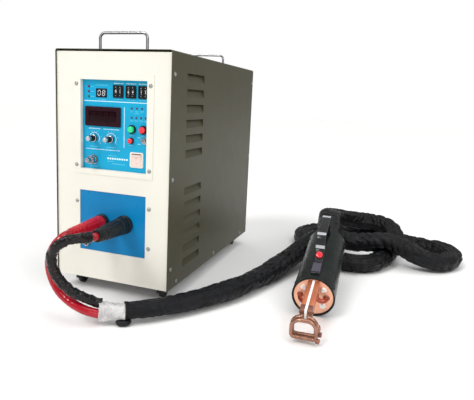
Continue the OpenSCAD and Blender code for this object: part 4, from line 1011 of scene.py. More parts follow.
# switch bodies and collars
sb = []
for x, z in ((191.5, 351), (219.5, 351)):
    prof = rounded([(7.02, 21), (7.02, 8.6), (7.4, 7.0), (9.3, 7.0), (9.5, 7.4), (9.5, CP), (8, CP), (8, 34), (7.02, 34), (7.02, 21)], 0.3)
    sb.append(at(lathe_part(prof, 64), x, 0, z + Z0))
    sb.append(at(lathe_part([(0, 33.8), (7.9, 33.8)], 32), x, 0, z + Z0))
sb.append(at(lathe_part(rounded([(4.56, 19), (4.56, 9.6), (5.2, 8.7), (6.8, 8.7), (7, 9.1), (7, CP), (6, CP), (6, 28), (0, 28)], 0.25), 48), 189.5, 0, 326 + Z0))
for cx, cz in KNOBS.values():
    sb.append(at(lathe_part([(3.06, 12.8), (3.06, 9.9), (4.4, 9.9), (4.5, 10.2), (4.5, 13), (12, 13), (12, 31), (0, 31)], 40), cx, 0, cz + Z0))
    sb.append(at(lathe_part([(4.6, 10.2), (6.2, 10.2), (6.2, CP - 0.02)], 6), cx, 0, cz + Z0))
o = new_obj("switch_collars", *join_mesh(sb), "black_plastic", "cabinet")
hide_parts("switch_bodies")
for nm, (x, z), mt in (("start_button", (191.5, 351), "green_cap"), ("stop_button", (219.5, 351), "red_cap")):
    o = new_obj(nm + "_cap", *at(lathe_part(rounded([(0, 1.35), (2.5, 1.25), (4.6, 1.0), (5.8, 1.02), (6.5, 1.5), (6.92, 2.6), (6.92, 17), (0, 17)], 0.4, 4), 64), x, 0, z + Z0), mt, nm)
    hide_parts(nm)
o = new_obj("reset_button_cap", *at(lathe_part(rounded([(0, 1.95), (3.4, 2.2), (5.2, 3.2), (5.8, 4.6), (5.8, 6.4), (4.5, 6.6), (4.5, 16), (0, 16)], 0.5, 4), 56), 189.5, 0, 326 + Z0), "red_cap", "reset_button")
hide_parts("reset_button")


# toggle switch
def thread(r, y0, y1, pitch, depth, n=40):
    pr_, y = [(0, y0), (r - depth, y0)], y0
    while y < y1 - pitch * 0.6:
        pr_ += [(r, y + pitch * 0.5), (r - depth, y + pitch)]
        y += pitch
    return lathe_part(pr_ + [(r, y1)], n)


tg = [at(thread(3.7, 4.5, CP, 0.75, 0.35), 222.5, 0, 327 + Z0),
      at(prism([(6.6 * math.cos(math.radians(60 * k + 8)), 6.6 * math.sin(math.radians(60 * k + 8))) for k in range(6)], 8.7, 10.4, 0.35, 2), 222.5, 0, 327 + Z0),
      at(lathe_part(rounded([(3.8, 10.3), (7.4, 10.3), (7.4, CP - 0.02)], 0.2), 40), 222.5, 0, 327 + Z0),
      bev_box((216, 13, 320 + Z0), (229, 28, 334 + Z0), 0.5, 2)]
o = new_obj("toggle_bushing", *join_mesh(tg), "chrome_steel", "cabinet")
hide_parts("toggle_switch")
lv = lathe_part(rounded([(0, -19.2), (1.1, -19.1), (1.75, -18.2), (2.0, -16.6), (1.8, -14), (1.2, -8), (1.1, -3), (1.9, -1.2), (2.1, 0), (1.6, 1.5), (0, 2.1)], 0.4, 4), 36)
o = new_obj("toggle_bat", *moved(lv, Matrix.Translation(Vector((222.5, 12, 327 + Z0))) @ Matrix.Rotation(math.radians(-11), 4, "X")), "chrome_steel", "toggle_lever")
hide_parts("toggle_lever")

# rocker switch
rx, rz = 204, 284.5 + Z0
o = new_obj("rocker_frame", *join_mesh([frame_part(rx, rz, 33.5, 34, 4.5, 24.6, 27.8, 1.2, 8.2, CP, 1.3), frame_part(rx, rz, 28, 30, 1, 24.4, 27.6, 0.8, CP, 32, 0.2)]), "cream_plastic", "cabinet")
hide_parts("rocker_bezel")
rm = Matrix.Translation(Vector((rx, 15, rz))) @ Matrix.Rotation(math.radians(7), 4, "X")
prof = [(-8.4, -12.5), (-8.0, -11.2), (-6.9, -5), (-6.5, 0), (-6.9, 5), (-8.0, 11.2), (-8.4, 12.5), (-7.4, 12.9), (-2, 12.3), (3, 6), (3, -6), (-2, -12.3), (-7.4, -12.9)]
pv, pf_ = prism([(y, z) for y, z in prof], -11.85, 11.85, 0.5, 2)
pv = [Vector((v.y, v.x, v.z)) for v in pv]
o = new_obj("rocker_cap", *moved((pv, pf_), rm), "pink_plastic", "rocker")
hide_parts("rocker")
mk = [moved(ring_flat((0, 7.0), 1.9, 2.5, 0, 360, -7.42, 28), rm), moved(strip(0, -9.3, 0, -5.0, 0.75, -7.42), rm)]
o = new_obj("rocker_marks", *join_mesh(mk), "red_cap", "rocker", smooth=False)

# round control connector with its screw ring
cs = [lathe_part(rounded([(0, -16.8), (4.4, -16.8), (5.3, -15.8), (5.7, -12), (6.3, -6.2), (7.2, -5.2), (7.2, -4.7)], 0.4), 64),
      fluted_lathe(dense(rounded([(7.0, -4.7), (9.0, -4.5), (9.25, -3.8), (9.25, 3.9), (8.7, 4.7), (7.2, 5.0)], 0.3), 0.8), 120, 30, 0.45, -3.4, 3.6),
      thread(7.6, 5.0, 8.9, 0.9, 0.45, 48),
      lathe_part(rounded([(7.4, 8.8), (10.5, 8.8), (10.7, 9.2), (10.7, CP - 0.02), (0, CP)], 0.3), 64)]
for k in range(4):
    a = math.radians(45 + 90 * k)
    cs.append(at(lathe_part([(0, 8.2), (1.1, 8.2), (1.3, 8.8)], 14), 9.0 * math.cos(a), 0, 9.0 * math.sin(a)))
cs.append(lathe_part([(0, CP + 2), (8, CP + 2), (8, 28), (0, 28)], 40))
o = new_obj("control_connector", *at(join_mesh(cs), 94, 0, 278 + Z0), "chrome_steel", "cabinet")
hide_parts("control_socket")

# ------------------------------------------------------------------ output side
for nm, (cx, cz), R_ in (("red_socket", (121.5, 138), 17.5), ("black_socket", (179, 138), 21.0)):
    pr_ = rounded([(10.05, 27), (10.05, -5.3), (10.6, -5.6), (R_ - 1.2, -5.6), (R_, -4.6), (R_, -1.2), (R_ - 0.7, -0.8), (R_ - 0.7, 0.2), (R_ + 0.3, 0.7), (R_ + 0.3, 4.4), (14, 4.45), (14, 32), (0, 32)], 0.4)
    hexn = lathe_part([(14.05, 7.6), (19.6, 7.6), (19.9, 8.0), (19.9, 13.6), (19.6, 14), (14.05, 14)], 6)
    o = new_obj(nm, *at(join_mesh([lathe_part(pr_, 96), hexn]), cx, 0, cz + Z0), "black_rubber", "cabinet")
    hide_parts("output_sockets")
pil = [lathe_part(rounded([(4.8, 3), (4.8, 0.2), (5.2, -0.2), (7.4, -0.2), (7.9, 0.5), (7.9, 4.4)], 0.3), 56)]
o = new_obj("pilot_ring", *at(join_mesh(pil), 79.5, 0, 83 + Z0), "chrome_steel", "cabinet")
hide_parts("output_sockets")
o = new_obj("pilot_insert", *at(lathe_part(rounded([(1.6, 3.5), (1.6, 1.6), (4.8, 1.6), (4.8, 20), (0, 20)], 0.2), 40), 79.5, 0, 83 + Z0), "dark_inside", "cabinet")
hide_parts("output_sockets")
o = new_obj("pilot_contact", *at(lathe_part(rounded([(0, -2.2), (1.1, -2.0), (1.5, -1.2), (1.5, 4), (0, 4)], 0.3), 28), 79.5, 0, 83 + Z0), "brass", "cabinet")
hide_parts("output_sockets")


# ------------------------------------------------------------------ screws, handles, castors
def phillips(r, h):
    """pan head with a cross recess, its top towards -Y, underside at y = 0"""
    n = 48
    V, Fc = [], []
    rings = [0.0, 0.12, 0.24, 0.36, 0.48, 0.6, 0.75, 0.9, 1.0]
    for f in rings:
        rr = r * f
        y = -h * (1 - 0.55 * f ** 3)
        for k in range(n if f else 1):
            a = 2 * math.pi * k / n
            x, z = rr * math.cos(a), rr * math.sin(a)
            dep = 0
            if f <= 0.6:
                w = min(abs(x), abs(z))
                dep = 0.55 * h * max(0, 1 - w / (0.14 * r)) * (1 - f / 0.72)
            V.append(Vector((x, y + dep, z)))
    V += [Vector((r * math.cos(2 * math.pi * k / n), 0, r * math.sin(2 * math.pi * k / n))) for k in range(n)]
    idx = [[0]] + [list(range(1 + n * i, 1 + n * (i + 1))) for i in range(len(rings))]
    for a, b in zip(idx, idx[1:]):
        for k in range(n):
            k2 = (k + 1) % n
            Fc.append((a[0], b[k], b[k2]) if len(a) == 1 else (a[k], b[k], b[k2], a[k2]))
    return V, Fc


scr, wsh = [], []
for i, (x, z) in enumerate([(54.5, 445), (240, 445), (54.5, 264), (240, 264)]):
    scr.append(moved(phillips(3.4, 2.1), Matrix.Translation(Vector((x, 1.5, z + Z0))) @ Matrix.Rotation(0.7 * i, 4, "Y")))
    wsh.append(at(lathe_part(rounded([(1.5, 1.5), (4.6, 1.5), (4.8, 1.75)], 0.1), 40), x, 0, z + Z0))
for i, (x, z) in enumerate([(54.5, 180), (240.5, 180), (240.5, 90.5), (54.5, 90.5)]):
    scr.append(moved(phillips(3.4, 2.1), Matrix.Translation(Vector((x, PF - 0.3, z + Z0))) @ Matrix.Rotation(0.9 * i + 0.3, 4, "Y")))
    wsh.append(at(lathe_part(rounded([(1.5, PF - 0.3), (4.6, PF - 0.3), (4.8, PF - 0.02)], 0.1), 40), x, 0, z + Z0))
SIDE = [(15, 472), (15, 248), (15, 47), (553, 480), (553, 252), (553, 44), (46, 10.5), (275, 10.5), (500, 10.5)]
for side_ in (0, 1):
    for i, (y, z) in enumerate(SIDE):
        m_ = Matrix.Translation(Vector((290 if side_ else 0, y, z + Z0))) @ Matrix.Rotation(math.radians(90 if side_ else -90), 4, "Z") @ Matrix.Rotation(1.1 * i, 4, "Y")
        scr.append(moved(phillips(3.6, 2.2), m_))
        wsh.append(moved(lathe_part(rounded([(1.5, -0.35), (4.7, -0.35), (4.9, -0.02)], 0.1), 40), m_))
for x in (-52.5, 52.5):
    for z in (-52.5, 52.5):
        m_ = Matrix.Translation(Vector((145 + x, PR + 0.1, 330 + z + Z0))) @ Matrix.Rotation(math.pi, 4, "Z") @ Matrix.Rotation(x, 4, "Y")
        scr.append(moved(phillips(3.5, 2.2), m_))
o = new_obj("panel_screw_heads", *join_mesh(scr + wsh), "zinc_steel", "cabinet")
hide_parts("panel_screws")

hd = []
for y in (47, 513):
    hp, hz, rr, r_ = 60, 43 - 3.2, 12, 3.2
    path = [Vector((-hp, 0, 1.0)), Vector((-hp, 0, hz - rr))]
    path += [Vector((-hp + rr - rr * math.cos(a), 0, hz - rr + rr * math.sin(a))) for a in [math.pi / 2 * k / 14 for k in range(1, 14)]]
    path += [Vector((-hp + rr, 0, hz)), Vector((0, 0, hz)), Vector((hp - rr, 0, hz))]
    path += [Vector((hp - rr + rr * math.sin(a), 0, hz - rr + rr * math.cos(a))) for a in [math.pi / 2 * k / 14 for k in range(1, 14)]]
    path += [Vector((hp, 0, hz - rr)), Vector((hp, 0, 1.0))]
    hd.append(at(tube_part(path, r_, n=32), 145, y, ZT))
    for s_ in (-1, 1):
        ft = lathe_part(rounded([(0, 4.0), (3.3, 4.0), (4.6, 3.4), (4.9, 2.2), (6.3, 1.9), (6.6, 1.2), (6.6, 0), (0, 0)], 0.4), 48)
        ft = ([Vector((v.x, v.z, v.y)) for v in ft[0]], ft[1])
        hd.append(at(ft, 145 + s_ * hp, y, ZT))
o = new_obj("lifting_handles", *join_mesh(hd), "chrome_steel", "cabinet")
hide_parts("top_handles")

CAST = {"fl": (35, 45), "fr": (255, 45), "rl": (35, 515), "rr": (255, 515)}
for c_, (x, y) in CAST.items():
    tyre = lathe_part(rounded([(9.2, -5.9), (12.6, -6.0), (13.7, -5.0), (14.0, -3.2), (14.0, 3.2), (13.7, 5.0), (12.6, 6.0), (9.2, 5.9)], 0.6, 4), 72)
    hub = lathe_part(rounded([(2.1, -6.0), (4.0, -6.0), (4.4, -5.0), (8.4, -4.4), (9.2, -5.4), (9.4, -5.4), (9.4, 5.4), (9.2, 5.4), (8.4, 4.4), (4.4, 5.0), (4.0, 6.0), (2.1, 6.0)], 0.3), 64)
    mrot = Matrix.Translation(Vector((x, y + 7, 14))) @ Matrix.Rotation(math.radians(90), 4, "Z")
    o = new_obj("castor_tyre_" + c_, *moved(tyre, mrot), "castor_rubber", "castor_wheel_" + c_)
    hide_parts("castor_wheel_" + c_)
    o = new_obj("castor_hub_" + c_, *moved(hub, mrot), "black_plastic", "castor_wheel_" + c_)
    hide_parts("castor_wheel_" + c_)
    # axle nut and raceway on the fork
    ax = [moved(lathe_part(rounded([(0, -s_ * 0), (3.2, 0), (3.2, 1.6), (2.4, 2.0), (0, 2.0)], 0.3), 6), Matrix.Translation(Vector((x + s_ * 8.1, y + 7, 14))) @ Matrix.Rotation(math.radians(-90 * s_), 4, "Z")) for s_ in (-1, 1)]
    rw = lathe_part(rounded([(0, 0), (12.6, 0), (12.9, 0.8), (12.6, 2.2), (0, 2.2)], 0.4), 56)
    rw = ([Vector((v.x, v.z, v.y)) for v in rw[0]], rw[1])
    ax.append(at(rw, x, y, 33.2))
    o = new_obj("castor_axle_nuts_" + c_, *join_mesh(ax), "zinc_steel", "castor_fork_" + c_)

# ------------------------------------------------------------------ rear: fan guard, rotor, spigots, gland
gd = []
fx, fz = 145, 330 + Z0
for r_ in (12, 22, 32, 42, 52):
    gd.append(tube_part([Vector((fx + r_ * math.cos(2 * math.pi * k / 72), PR + 3.4, fz + r_ * math.sin(2 * math.pi * k / 72))) for k in range(72)], 0.9, n=10, closed=True))
for k in range(4):
    a = math.radians(45 + 90 * k)
    gd.append(tube_part([Vector((fx + q * math.cos(a), PR + yy, fz + q * math.sin(a))) for q, yy in ((8, 4.9), (30, 4.9), (54, 4.7), (66, 2.4), (74.2, 1.2))], 1.0, n=10))
    gd.append(moved(lathe_part([(2.2, 0.2), (4.4, 0.2), (4.4, 2.0), (2.2, 2.0)], 24), Matrix.Translation(Vector((fx + 74.2 * math.cos(a), PR, fz + 74.2 * math.sin(a))))))
o = new_obj("fan_guard", *join_mesh(gd), "chrome_steel", "cabinet")
bl = [lathe_part(rounded([(0, 531.6), (15, 531.6), (18.4, 533), (19, 535), (19, 549), (0, 549)], 0.8), 64), lathe_part([(0, 547), (2, 547), (2, 554), (0, 554)], 20)]
for k in range(7):
    V, Fc = [], []
    for i in range(9):
        for j in range(7):
            u, w = i / 8, j / 6
            r_ = 18 + u * 36
            sweep = math.radians((w - 0.5) * (62 - 14 * u) + 14 * u + 360 * k / 7)
            yy = 540.5 + (w - 0.5) * 14.5 - 1.6 * math.sin(w * math.pi)
            for sgn in (-0.5, 0.5):
                V.append(Vector((r_ * math.cos(sweep), yy + sgn * 1.1, r_ * math.sin(sweep))))
    for i in range(8):
        for j in range(6):
            a, b, c, d = [2 * (7 * p + q) for p, q in ((i, j), (i + 1, j), (i + 1, j + 1), (i, j + 1))]
            Fc += [(a, b, c, d), (a + 1, d + 1, c + 1, b + 1)]
    for i in range(8):
        for j in (0, 6):
            a, b = 2 * (7 * i + j), 2 * (7 * (i + 1) + j)
            Fc.append((a, b, b + 1, a + 1))
    for j in range(6):
        for i in (0, 8):
            a, b = 2 * (7 * i + j), 2 * (7 * i + j + 1)
            Fc.append((a, b, b + 1, a + 1))
    bl.append((V, Fc))
o = new_obj("fan_blades", *at(join_mesh(bl), fx, 0, fz), "black_plastic", "fan_rotor")
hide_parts("fan_rotor")
wf = []
for x in (80, 210):
    barb = [(4.0, 591.8), (4.6, 592.0), (6.0, 587.4), (5.5, 587.2), (5.5, 586.4), (6.0, 581.6), (5.5, 581.4), (5.5, 580.6), (6.0, 575.8), (5.6, 575.4), (5.6, 569.0), (6.8, 568.6), (7.0, 566.0), (8.6, 565.4)]
    wf.append(at(lathe_part(rounded([(4.0, 520)] + barb, 0.2), 56), x, 0, 39 + Z0))
    wf.append(at(lathe_part([(8.6, 565.4), (10.6, 565.2), (11.0, 564.4), (11.0, 557.6), (10.6, 557.05), (0, 557.05)], 6), x, 0, 39 + Z0))
    wf.append(at(lathe_part([(6, 557), (6, 420)], 40), x, 0, 39 + Z0))
o = new_obj("water_spigots", *join_mesh(wf), "brass", "cabinet")
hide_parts("water_fittings")
gl = [lathe_part([(8.0, 557.1), (17.6, 557.05), (18, 557.5), (18, 563.4), (17.6, 564), (14, 564)], 6),
      fluted_lathe(dense(rounded([(14, 563.9), (15, 564.1), (15, 575), (13.6, 578.4), (11, 581.6), (8.4, 582), (8.0, 581.5), (8.0, 545)], 0.5), 1.2), 96, 16, 0.8, 565, 575),
      lathe_part([(12.5, 545), (12.5, 557)], 40), lathe_part([(8, 549), (18, 549), (18, 555.4), (8, 555.4)], 6)]
o = new_obj("mains_gland_body", *at(join_mesh(gl), 228, 0, 92 + Z0), "black_plastic", "cabinet")
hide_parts("mains_gland")

# ------------------------------------------------------------------ work head (drawn with its face at y = 0, axis along +Y)
HR, HI_ = 47.0, 44.5
sh = [(HI_, 249.5), (HI_, -2.2), (HI_ + 0.5, -2.9), (HR - 0.9, -3.0), (HR - 0.2, -2.6), (HR, -1.8)]
y = 0.5
while y < 246:
    sh.append((HR, y))
    y += 1.5
sh += [(HR, 246.4), (HR - 0.25, 246.8), (HR - 0.25, 247.4), (HR, 247.8), (HR, 249.9)]
V, Fc = lathe_part(sh, 180)
V2 = []
for v in V:
    r_ = math.hypot(v.x, v.z)
    if r_ > HR - 0.05 and v.y > 1:
        a = math.atan2(v.z, v.x)
        # the sheath over the barrel isn't quite smooth
        w_ = noise.noise(Vector((2.2 * math.cos(a), v.y * 0.018, 2.2 * math.sin(a)))) * 0.30 + noise.noise(Vector((6 * math.cos(a), v.y * 0.05, 6 * math.sin(a) + 9))) * 0.16
        v = Vector((v.x * (1 - 0.004 + w_ / HR), v.y, v.z * (1 - 0.004 + w_ / HR)))
    V2.append(v)
o = new_obj("head_barrel", V2, Fc, "head_black", "head", world=HEAD)
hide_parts("head_shell")
# screws along the barrel
hs2 = []
for yy in (14, 232):
    for ang in (25, 155, 205, 335):
        a = math.radians(ang)
        m_ = Matrix.Translation(Vector(((HR - 0.1) * math.cos(a), yy, (HR - 0.1) * math.sin(a)))) @ Matrix(((math.cos(a), -math.sin(a), 0), (0, 0, 1), (math.sin(a), math.cos(a), 0))).to_4x4() @ Matrix.Rotation(math.pi / 2, 4, "Z")
        hs2.append(moved(phillips(2.6, 1.3), m_))
o = new_obj("barrel_screws", *join_mesh(hs2), "black_steel", "head", world=HEAD)
# rear cap and its neck
cp_ = rounded([(15, 239.4), (15, 272), (24.2, 272), (25, 271.2), (25, 259), (26, 258), (44, 256), (47, 253), (47, 250), (44.4, 249.8), (44.4, 240), (15, 240)], 0.8)
o = new_obj("head_rear_cover", *lathe_part(cp_, 120), "black_plastic", "head", world=HEAD)
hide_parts("head_rear_cap")
# strap that ties the sleeve's mouth over the neck
clamp = [at(tube_part([Vector((26.2 * math.cos(2 * math.pi * k / 64), 0, 26.2 * math.sin(2 * math.pi * k / 64))) for k in range(64)], 0.8, n=8, closed=True), 0, 260.9, 0)]
o = new_obj("neck_wire", *join_mesh(clamp), "zinc_steel", "head", world=HEAD)
# copper face plate
o = frame["nodes"]["head_front_plate"]
bvm = o.modifiers.new("edges", "BEVEL")
bvm.width, bvm.segments, bvm.limit_method, bvm.angle_limit = 0.0005, 2, "ANGLE", math.radians(50)
o.data.materials[0] = M["copper_plate"]
o = new_obj("face_rim", *lathe_part(rounded([(HI_ - 0.05, 0.6), (HI_ - 0.05, -1.6), (HI_ - 1.6, -1.6), (HI_ - 1.6, 0.02)], 0.4), 120), "black_rubber", "head", world=HEAD)

# busbars with the tubes soldered to them
bars, tubes, solder = [], [], []
for s_ in (-1, 1):
    x0, x1 = (2.55, 12.0) if s_ > 0 else (-12.0, -2.55)
    bars.append(bev_box((x0, -112, 17), (x1, 42, 40), 0.7, 3))
    if s_ > 0:
        q = [(28, 12, 1), (28, 2, 1), (28, -4, 1), (27.2, -9.5, 1), (24.5, -13.6, 1.2), (20.5, -15.6, 1.8), (16, -16.2, 3.0), (12, -16.6, 5.5), (9.4, -16.8, 9.5), (8.4, -17, 14), (8.2, -17, 19)]
    else:
        q = [(-28, 12, 1), (-28, 2, 1), (-28, -5, 1), (-27.4, -11, 0.6), (-25.2, -16.5, 0.2), (-21.5, -22, 0.4), (-17.4, -27.6, 1.8), (-13.4, -32.6, 4.6), (-10.4, -36.2, 8.8), (-8.6, -38, 13.6), (-8.2, -38.4, 19)]
    tubes.append(tube_part(resample(spline([Vector(v) for v in q], 6), 0.9)[0], lambda i, t, a: 5.0 + 0.16 * noise.noise(Vector((math.cos(a), math.sin(a), t * 9))), n=32))
    # brazing fillets
    solder.append(at(lathe_part(rounded([(5.0, -2.6), (5.5, -1.0), (7.6, 0.05), (0, 0.1)], 0.3), 40), s_ * 28, 0, 1))
    f_ = lathe_part(rounded([(0, 0.2), (6.6, 0.15), (5.7, 1.4), (5.0, 3.4)], 0.4), 40)
    f_ = ([Vector((v.x * 0.9, v.z, -v.y)) for v in f_[0]], f_[1])
    solder.append(at(f_, s_ * 8.2, -17 if s_ > 0 else -38.4, 17.2))
o = new_obj("busbars", *join_mesh(bars), "copper_bar", "head", world=HEAD)
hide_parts("head_busbars")
o = new_obj("busbar_tubes", *join_mesh(tubes), "tube_copper", "head", world=HEAD)
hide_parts("head_busbars")
o = new_obj("brazing_fillets", *join_mesh(solder), "copper_burnt", "head", world=HEAD)
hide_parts("head_busbars")
# heat-darkened ends of the bars with the clamp blocks for the coil
ends = []
for s_ in (-1, 1):
    x0, x1 = (2.5, 12.1) if s_ > 0 else (-12.1, -2.5)
    ends.append(bev_box((x0 - 0.0, -112.25, 16.85), (x1 + 0.1, -92, 40.15), 0.6, 3))
    ends.append(moved(lathe_part(rounded([(0, -2.4), (2.3, -2.4), (2.6, -2.1), (2.6, 0)], 0.3), 6), Matrix.Translation(Vector((s_ * 12.1, -101, 28.5))) @ Matrix.Rotation(math.radians(90 * s_), 4, "Z")))
o = new_obj("bar_ends", *join_mesh(ends), "copper_burnt", "head", world=HEAD)
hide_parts("head_busbars")
ins = [bev_box((-2.5, -114, 14), (2.5, 0.2, 41.5), 0.35, 2)]
o = new_obj("white_insulator", *join_mesh(ins), "ptfe", "head", world=HEAD)
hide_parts("bar_insulator")
# bolts with washers
bt = []
for i, (bx_, bz_) in enumerate([(-21, 20), (21, 20), (-21, -20), (21, -20)]):
    m_ = Matrix.Translation(Vector((bx_, 0, bz_))) @ Matrix.Rotation(0.5 * i + 0.3, 4, "Y")
    hx = lathe_part([(0, -3.7), (3.2, -3.7), (3.4, -4.4), (4.4, -4.4), (5.5, -4.1), (5.75, -3.6), (5.75, -1.1), (4.8, -1.0)], 6)
    bt.append(moved(hx, m_))
    bt.append(moved(lathe_part(rounded([(3, -1.1), (7.0, -1.1), (7.2, -0.85), (7.2, -0.02)], 0.15), 48), m_))
    bt.append(moved(thread(3.0, -1.0, 14.5, 1.2, 0.35, 28), m_))
o = new_obj("face_bolt_heads", *join_mesh(bt), "zinc_bright", "head", world=HEAD)
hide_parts("face_bolts")

# coil: two turns of tube with an arched top
w_, top_, bot_, ra_, rb_ = 24, 30, -9.5, 18, 7
def turn(yl, x_start, x_end):
    """from the top at x_start round the left side, the bottom and the right side to x_end"""
    q = []
    def arc(cx, cz, r, a0, a1, n):
        return [Vector((cx + r * math.cos(math.radians(a0 + (a1 - a0) * k / n)), yl, cz + r * math.sin(math.radians(a0 + (a1 - a0) * k / n)))) for k in range(n + 1)]
    q += [Vector((x_start, yl, top_ + 0.0))]
    q += arc(-w_ + ra_, top_ - ra_, ra_, 92, 180, 22)
    q += [Vector((-w_, yl, 6)), Vector((-w_, yl, 1))]
    q += arc(-w_ + rb_, bot_ + rb_, rb_, 180, 270, 10)
    q += [Vector((-8, yl, bot_)), Vector((8, yl, bot_))]
    q += arc(w_ - rb_, bot_ + rb_, rb_, 270, 360, 10)
    if yl < -125:
        q += [Vector((w_ - 0.3, yl, 1)), Vector((w_ - 0.6, yl, 6))]
    else:
        q += [Vector((w_ + 0.6, yl, 0)), Vector((w_ + 2.2, yl, 4)), Vector((w_ + 3.6, yl, 9)), Vector((w_ + 2.8, yl, 14))]
    q += arc(w_ - ra_, top_ - ra_, ra_, 12, 88, 19)
    q += [Vector((x_end, yl, top_))]
    return q


cl = []
back = turn(-120, -7, 7)
front = turn(-131, 0.2, -0.2)
# the rear turn's ends bend back into the bars
def stub(x):
    return [Vector((x, -112.2, top_)), Vector((x, -115, top_)), Vector((x * 1.02, -118, top_))]


cl.append(tube_part(resample(stub(-7) + back[1:-1] + stub(7)[::-1], 1.4)[0], 4, n=24))
cl.append(tube_part(resample(front, 1.4)[0], 4, n=24))
cl.append(tube_part([Vector((-16, -131, bot_)), Vector((-16, -125, bot_ - 0.0)), Vector((-16, -120, bot_))], 3.9, n=20))
o = new_obj("coil_tube", *join_mesh(cl), "coil_copper", "head", world=HEAD)
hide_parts("work_coil")
pl = []
for yl, zl, dx_, sl in ((-120, -4, -2, 0), (-131, -10.5, -4, 12)):
    c_ = lathe_part(rounded([(3.7, -27), (4.9, -27.6), (5.1, -28.6), (5.1, -34.2), (4.4, -35.6), (2.2, -36.0), (0, -35.8)], 0.5), 40)
    pl.append(moved(c_, Matrix.Translation(Vector((27 + dx_, yl, zl))) @ Matrix.Rotation(math.radians(sl), 4, "Y") @ Matrix.Translation(Vector((-27, 0, 0))) @ Matrix.Rotation(math.radians(90), 4, "Z")))
o = new_obj("coil_end_plugs", *join_mesh(pl), "copper_burnt", "head", world=HEAD)
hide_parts("work_coil")

# handle
outl = [(14, 45.2), (14, 50), (17, 52), (58, 52), (61.5, 51.2), (86.5, 71.0), (92.5, 94), (101, 101.6), (206, 101.8), (213.6, 95.5), (220.6, 55), (224, 52), (240, 52), (243, 49.5), (243, 44.4),
        (210, 44.6), (208, 52), (203.4, 84), (198, 89.5), (113, 89.5), (108.6, 84), (105.8, 60), (104.4, 45)]


def yz_prism(outline, x0, x1, r, bev):
    """outline in the YZ plane with its corners rounded, drawn out along X and bevelled"""
    n_ = len(outline)
    pts = []
    for i in range(n_):
        a, b, c = Vector(outline[i - 1]), Vector(outline[i]), Vector(outline[(i + 1) % n_])
        d1, d2 = a - b, c - b
        q = min(r, d1.length * 0.42, d2.length * 0.42)
        p1, p2 = b + d1.normalized() * q, b + d2.normalized() * q
        for k in range(5):
            t = k / 4
            pts.append((1 - t) ** 2 * p1 + 2 * t * (1 - t) * b + t * t * p2)
    V, Fc = prism([(p.x, p.y) for p in pts], x0, x1, bev, 3)
    return [Vector((v.y, v.x, v.z)) for v in V], Fc


hp_ = yz_prism(outl, -10, 10, 3.0, 1.6)
o = new_obj("grip_bracket", *hp_, "head_black2", "head", world=HEAD)
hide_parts("head_handle")
# painted highlights: light grey strips laid where the grip's edges catch the light, at its rear and front top corners
# and on the sloping front leg; and the pad in front of the switch


def band(pts, wdt, th):
    """flat strip laid on the grip's upper surface along pts (y, z); used for the painted highlight strips and for the
    front pad
    """
    V, Fc = [], []
    P_ = [Vector(p) for p in pts]
    for i, p in enumerate(P_):
        a, b = P_[max(0, i - 1)], P_[min(len(P_) - 1, i + 1)]
        t = (b - a).normalized()
        nrm = Vector((-t.y, t.x))
        for sx in (-1, 1):
            for dn in (-0.4, th):
                q = p + nrm * dn
                V.append(Vector((sx * wdt, q.x, q.y)))
    for i in range(len(P_) - 1):
        a, b = 4 * i, 4 * (i + 1)
        Fc += [(a + 1, b + 1, b + 3, a + 3), (a, a + 2, b + 2, b), (a, b, b + 1, a + 1), (a + 2, a + 3, b + 3, b + 2)]
    a, b = 0, 4 * (len(P_) - 1)
    Fc += [(a, a + 1, a + 3, a + 2), (b, b + 2, b + 3, b + 1)]
    return V, Fc


# painted highlights: the grip's bright corner lines drawn as light grey strips
gb = [band([(197, 101.75), (206, 101.75)], 10.15, 0.5), band([(99.6, 100.6), (101.4, 101.6), (104, 101.75), (110, 101.75)], 10.15, 0.5), band([(86.9, 72.6), (88.7, 79.6)], 10.15, 0.5)]
o = new_obj("grip_painted_highlights", *join_mesh(gb), "grey_tape", "head", world=HEAD)
o = new_obj("grip_front_pad", *join_mesh([band([(18, 52.0), (55, 52.0)], 9.2, 0.9)]), "grey_pad", "head", world=HEAD)
# switch collar and button
mB = Matrix.Translation(Vector((0, 75.5, 61))) @ Matrix.Rotation(math.radians(38.5), 4, "X")
def turnz(profile, n=64):
    """profile of (radius, z) turned about Z"""
    V, Fc = lathe_part(profile, n)
    return [Vector((v.x, v.z, v.y)) for v in V], Fc


col = turnz(rounded([(8.06, -3.0), (8.06, 1.6), (8.3, 2.3), (9.2, 2.3), (9.7, 1.9), (9.9, 0.9), (9.9, -2.0)], 0.25))
o = new_obj("switch_collar", *moved(col, mB), "black_plastic", "head", world=HEAD)
tb = turnz(rounded([(0, 5.2), (4.5, 5.35), (6.2, 5.1), (7.3, 4.4), (7.9, 3.2), (7.98, -7.6), (0, -7.8)], 0.5, 4))
o = new_obj("trigger_cap", *moved(tb, mB), "red_cap", "trigger_button", world=HEAD)
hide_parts("trigger_button")
# transformer inside the barrel: core and winding
core = [bev_box((-27, 42, -27), (27, 190, 27), 1.0, 2)]
o = new_obj("ferrite_core", *join_mesh(core), "dark_inside", "head", world=HEAD)
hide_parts("head_transformer")
wn = []
prof_w = [(20, 62)]
yy = 62
while yy < 168:
    prof_w += [(36.2, yy), (36.9, yy + 1.3), (36.2, yy + 2.6)]
    yy += 2.65
prof_w += [(20, yy)]
o = new_obj("copper_winding", *lathe_part(prof_w, 72), "copper_bar", "head", world=HEAD)
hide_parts("head_transformer")

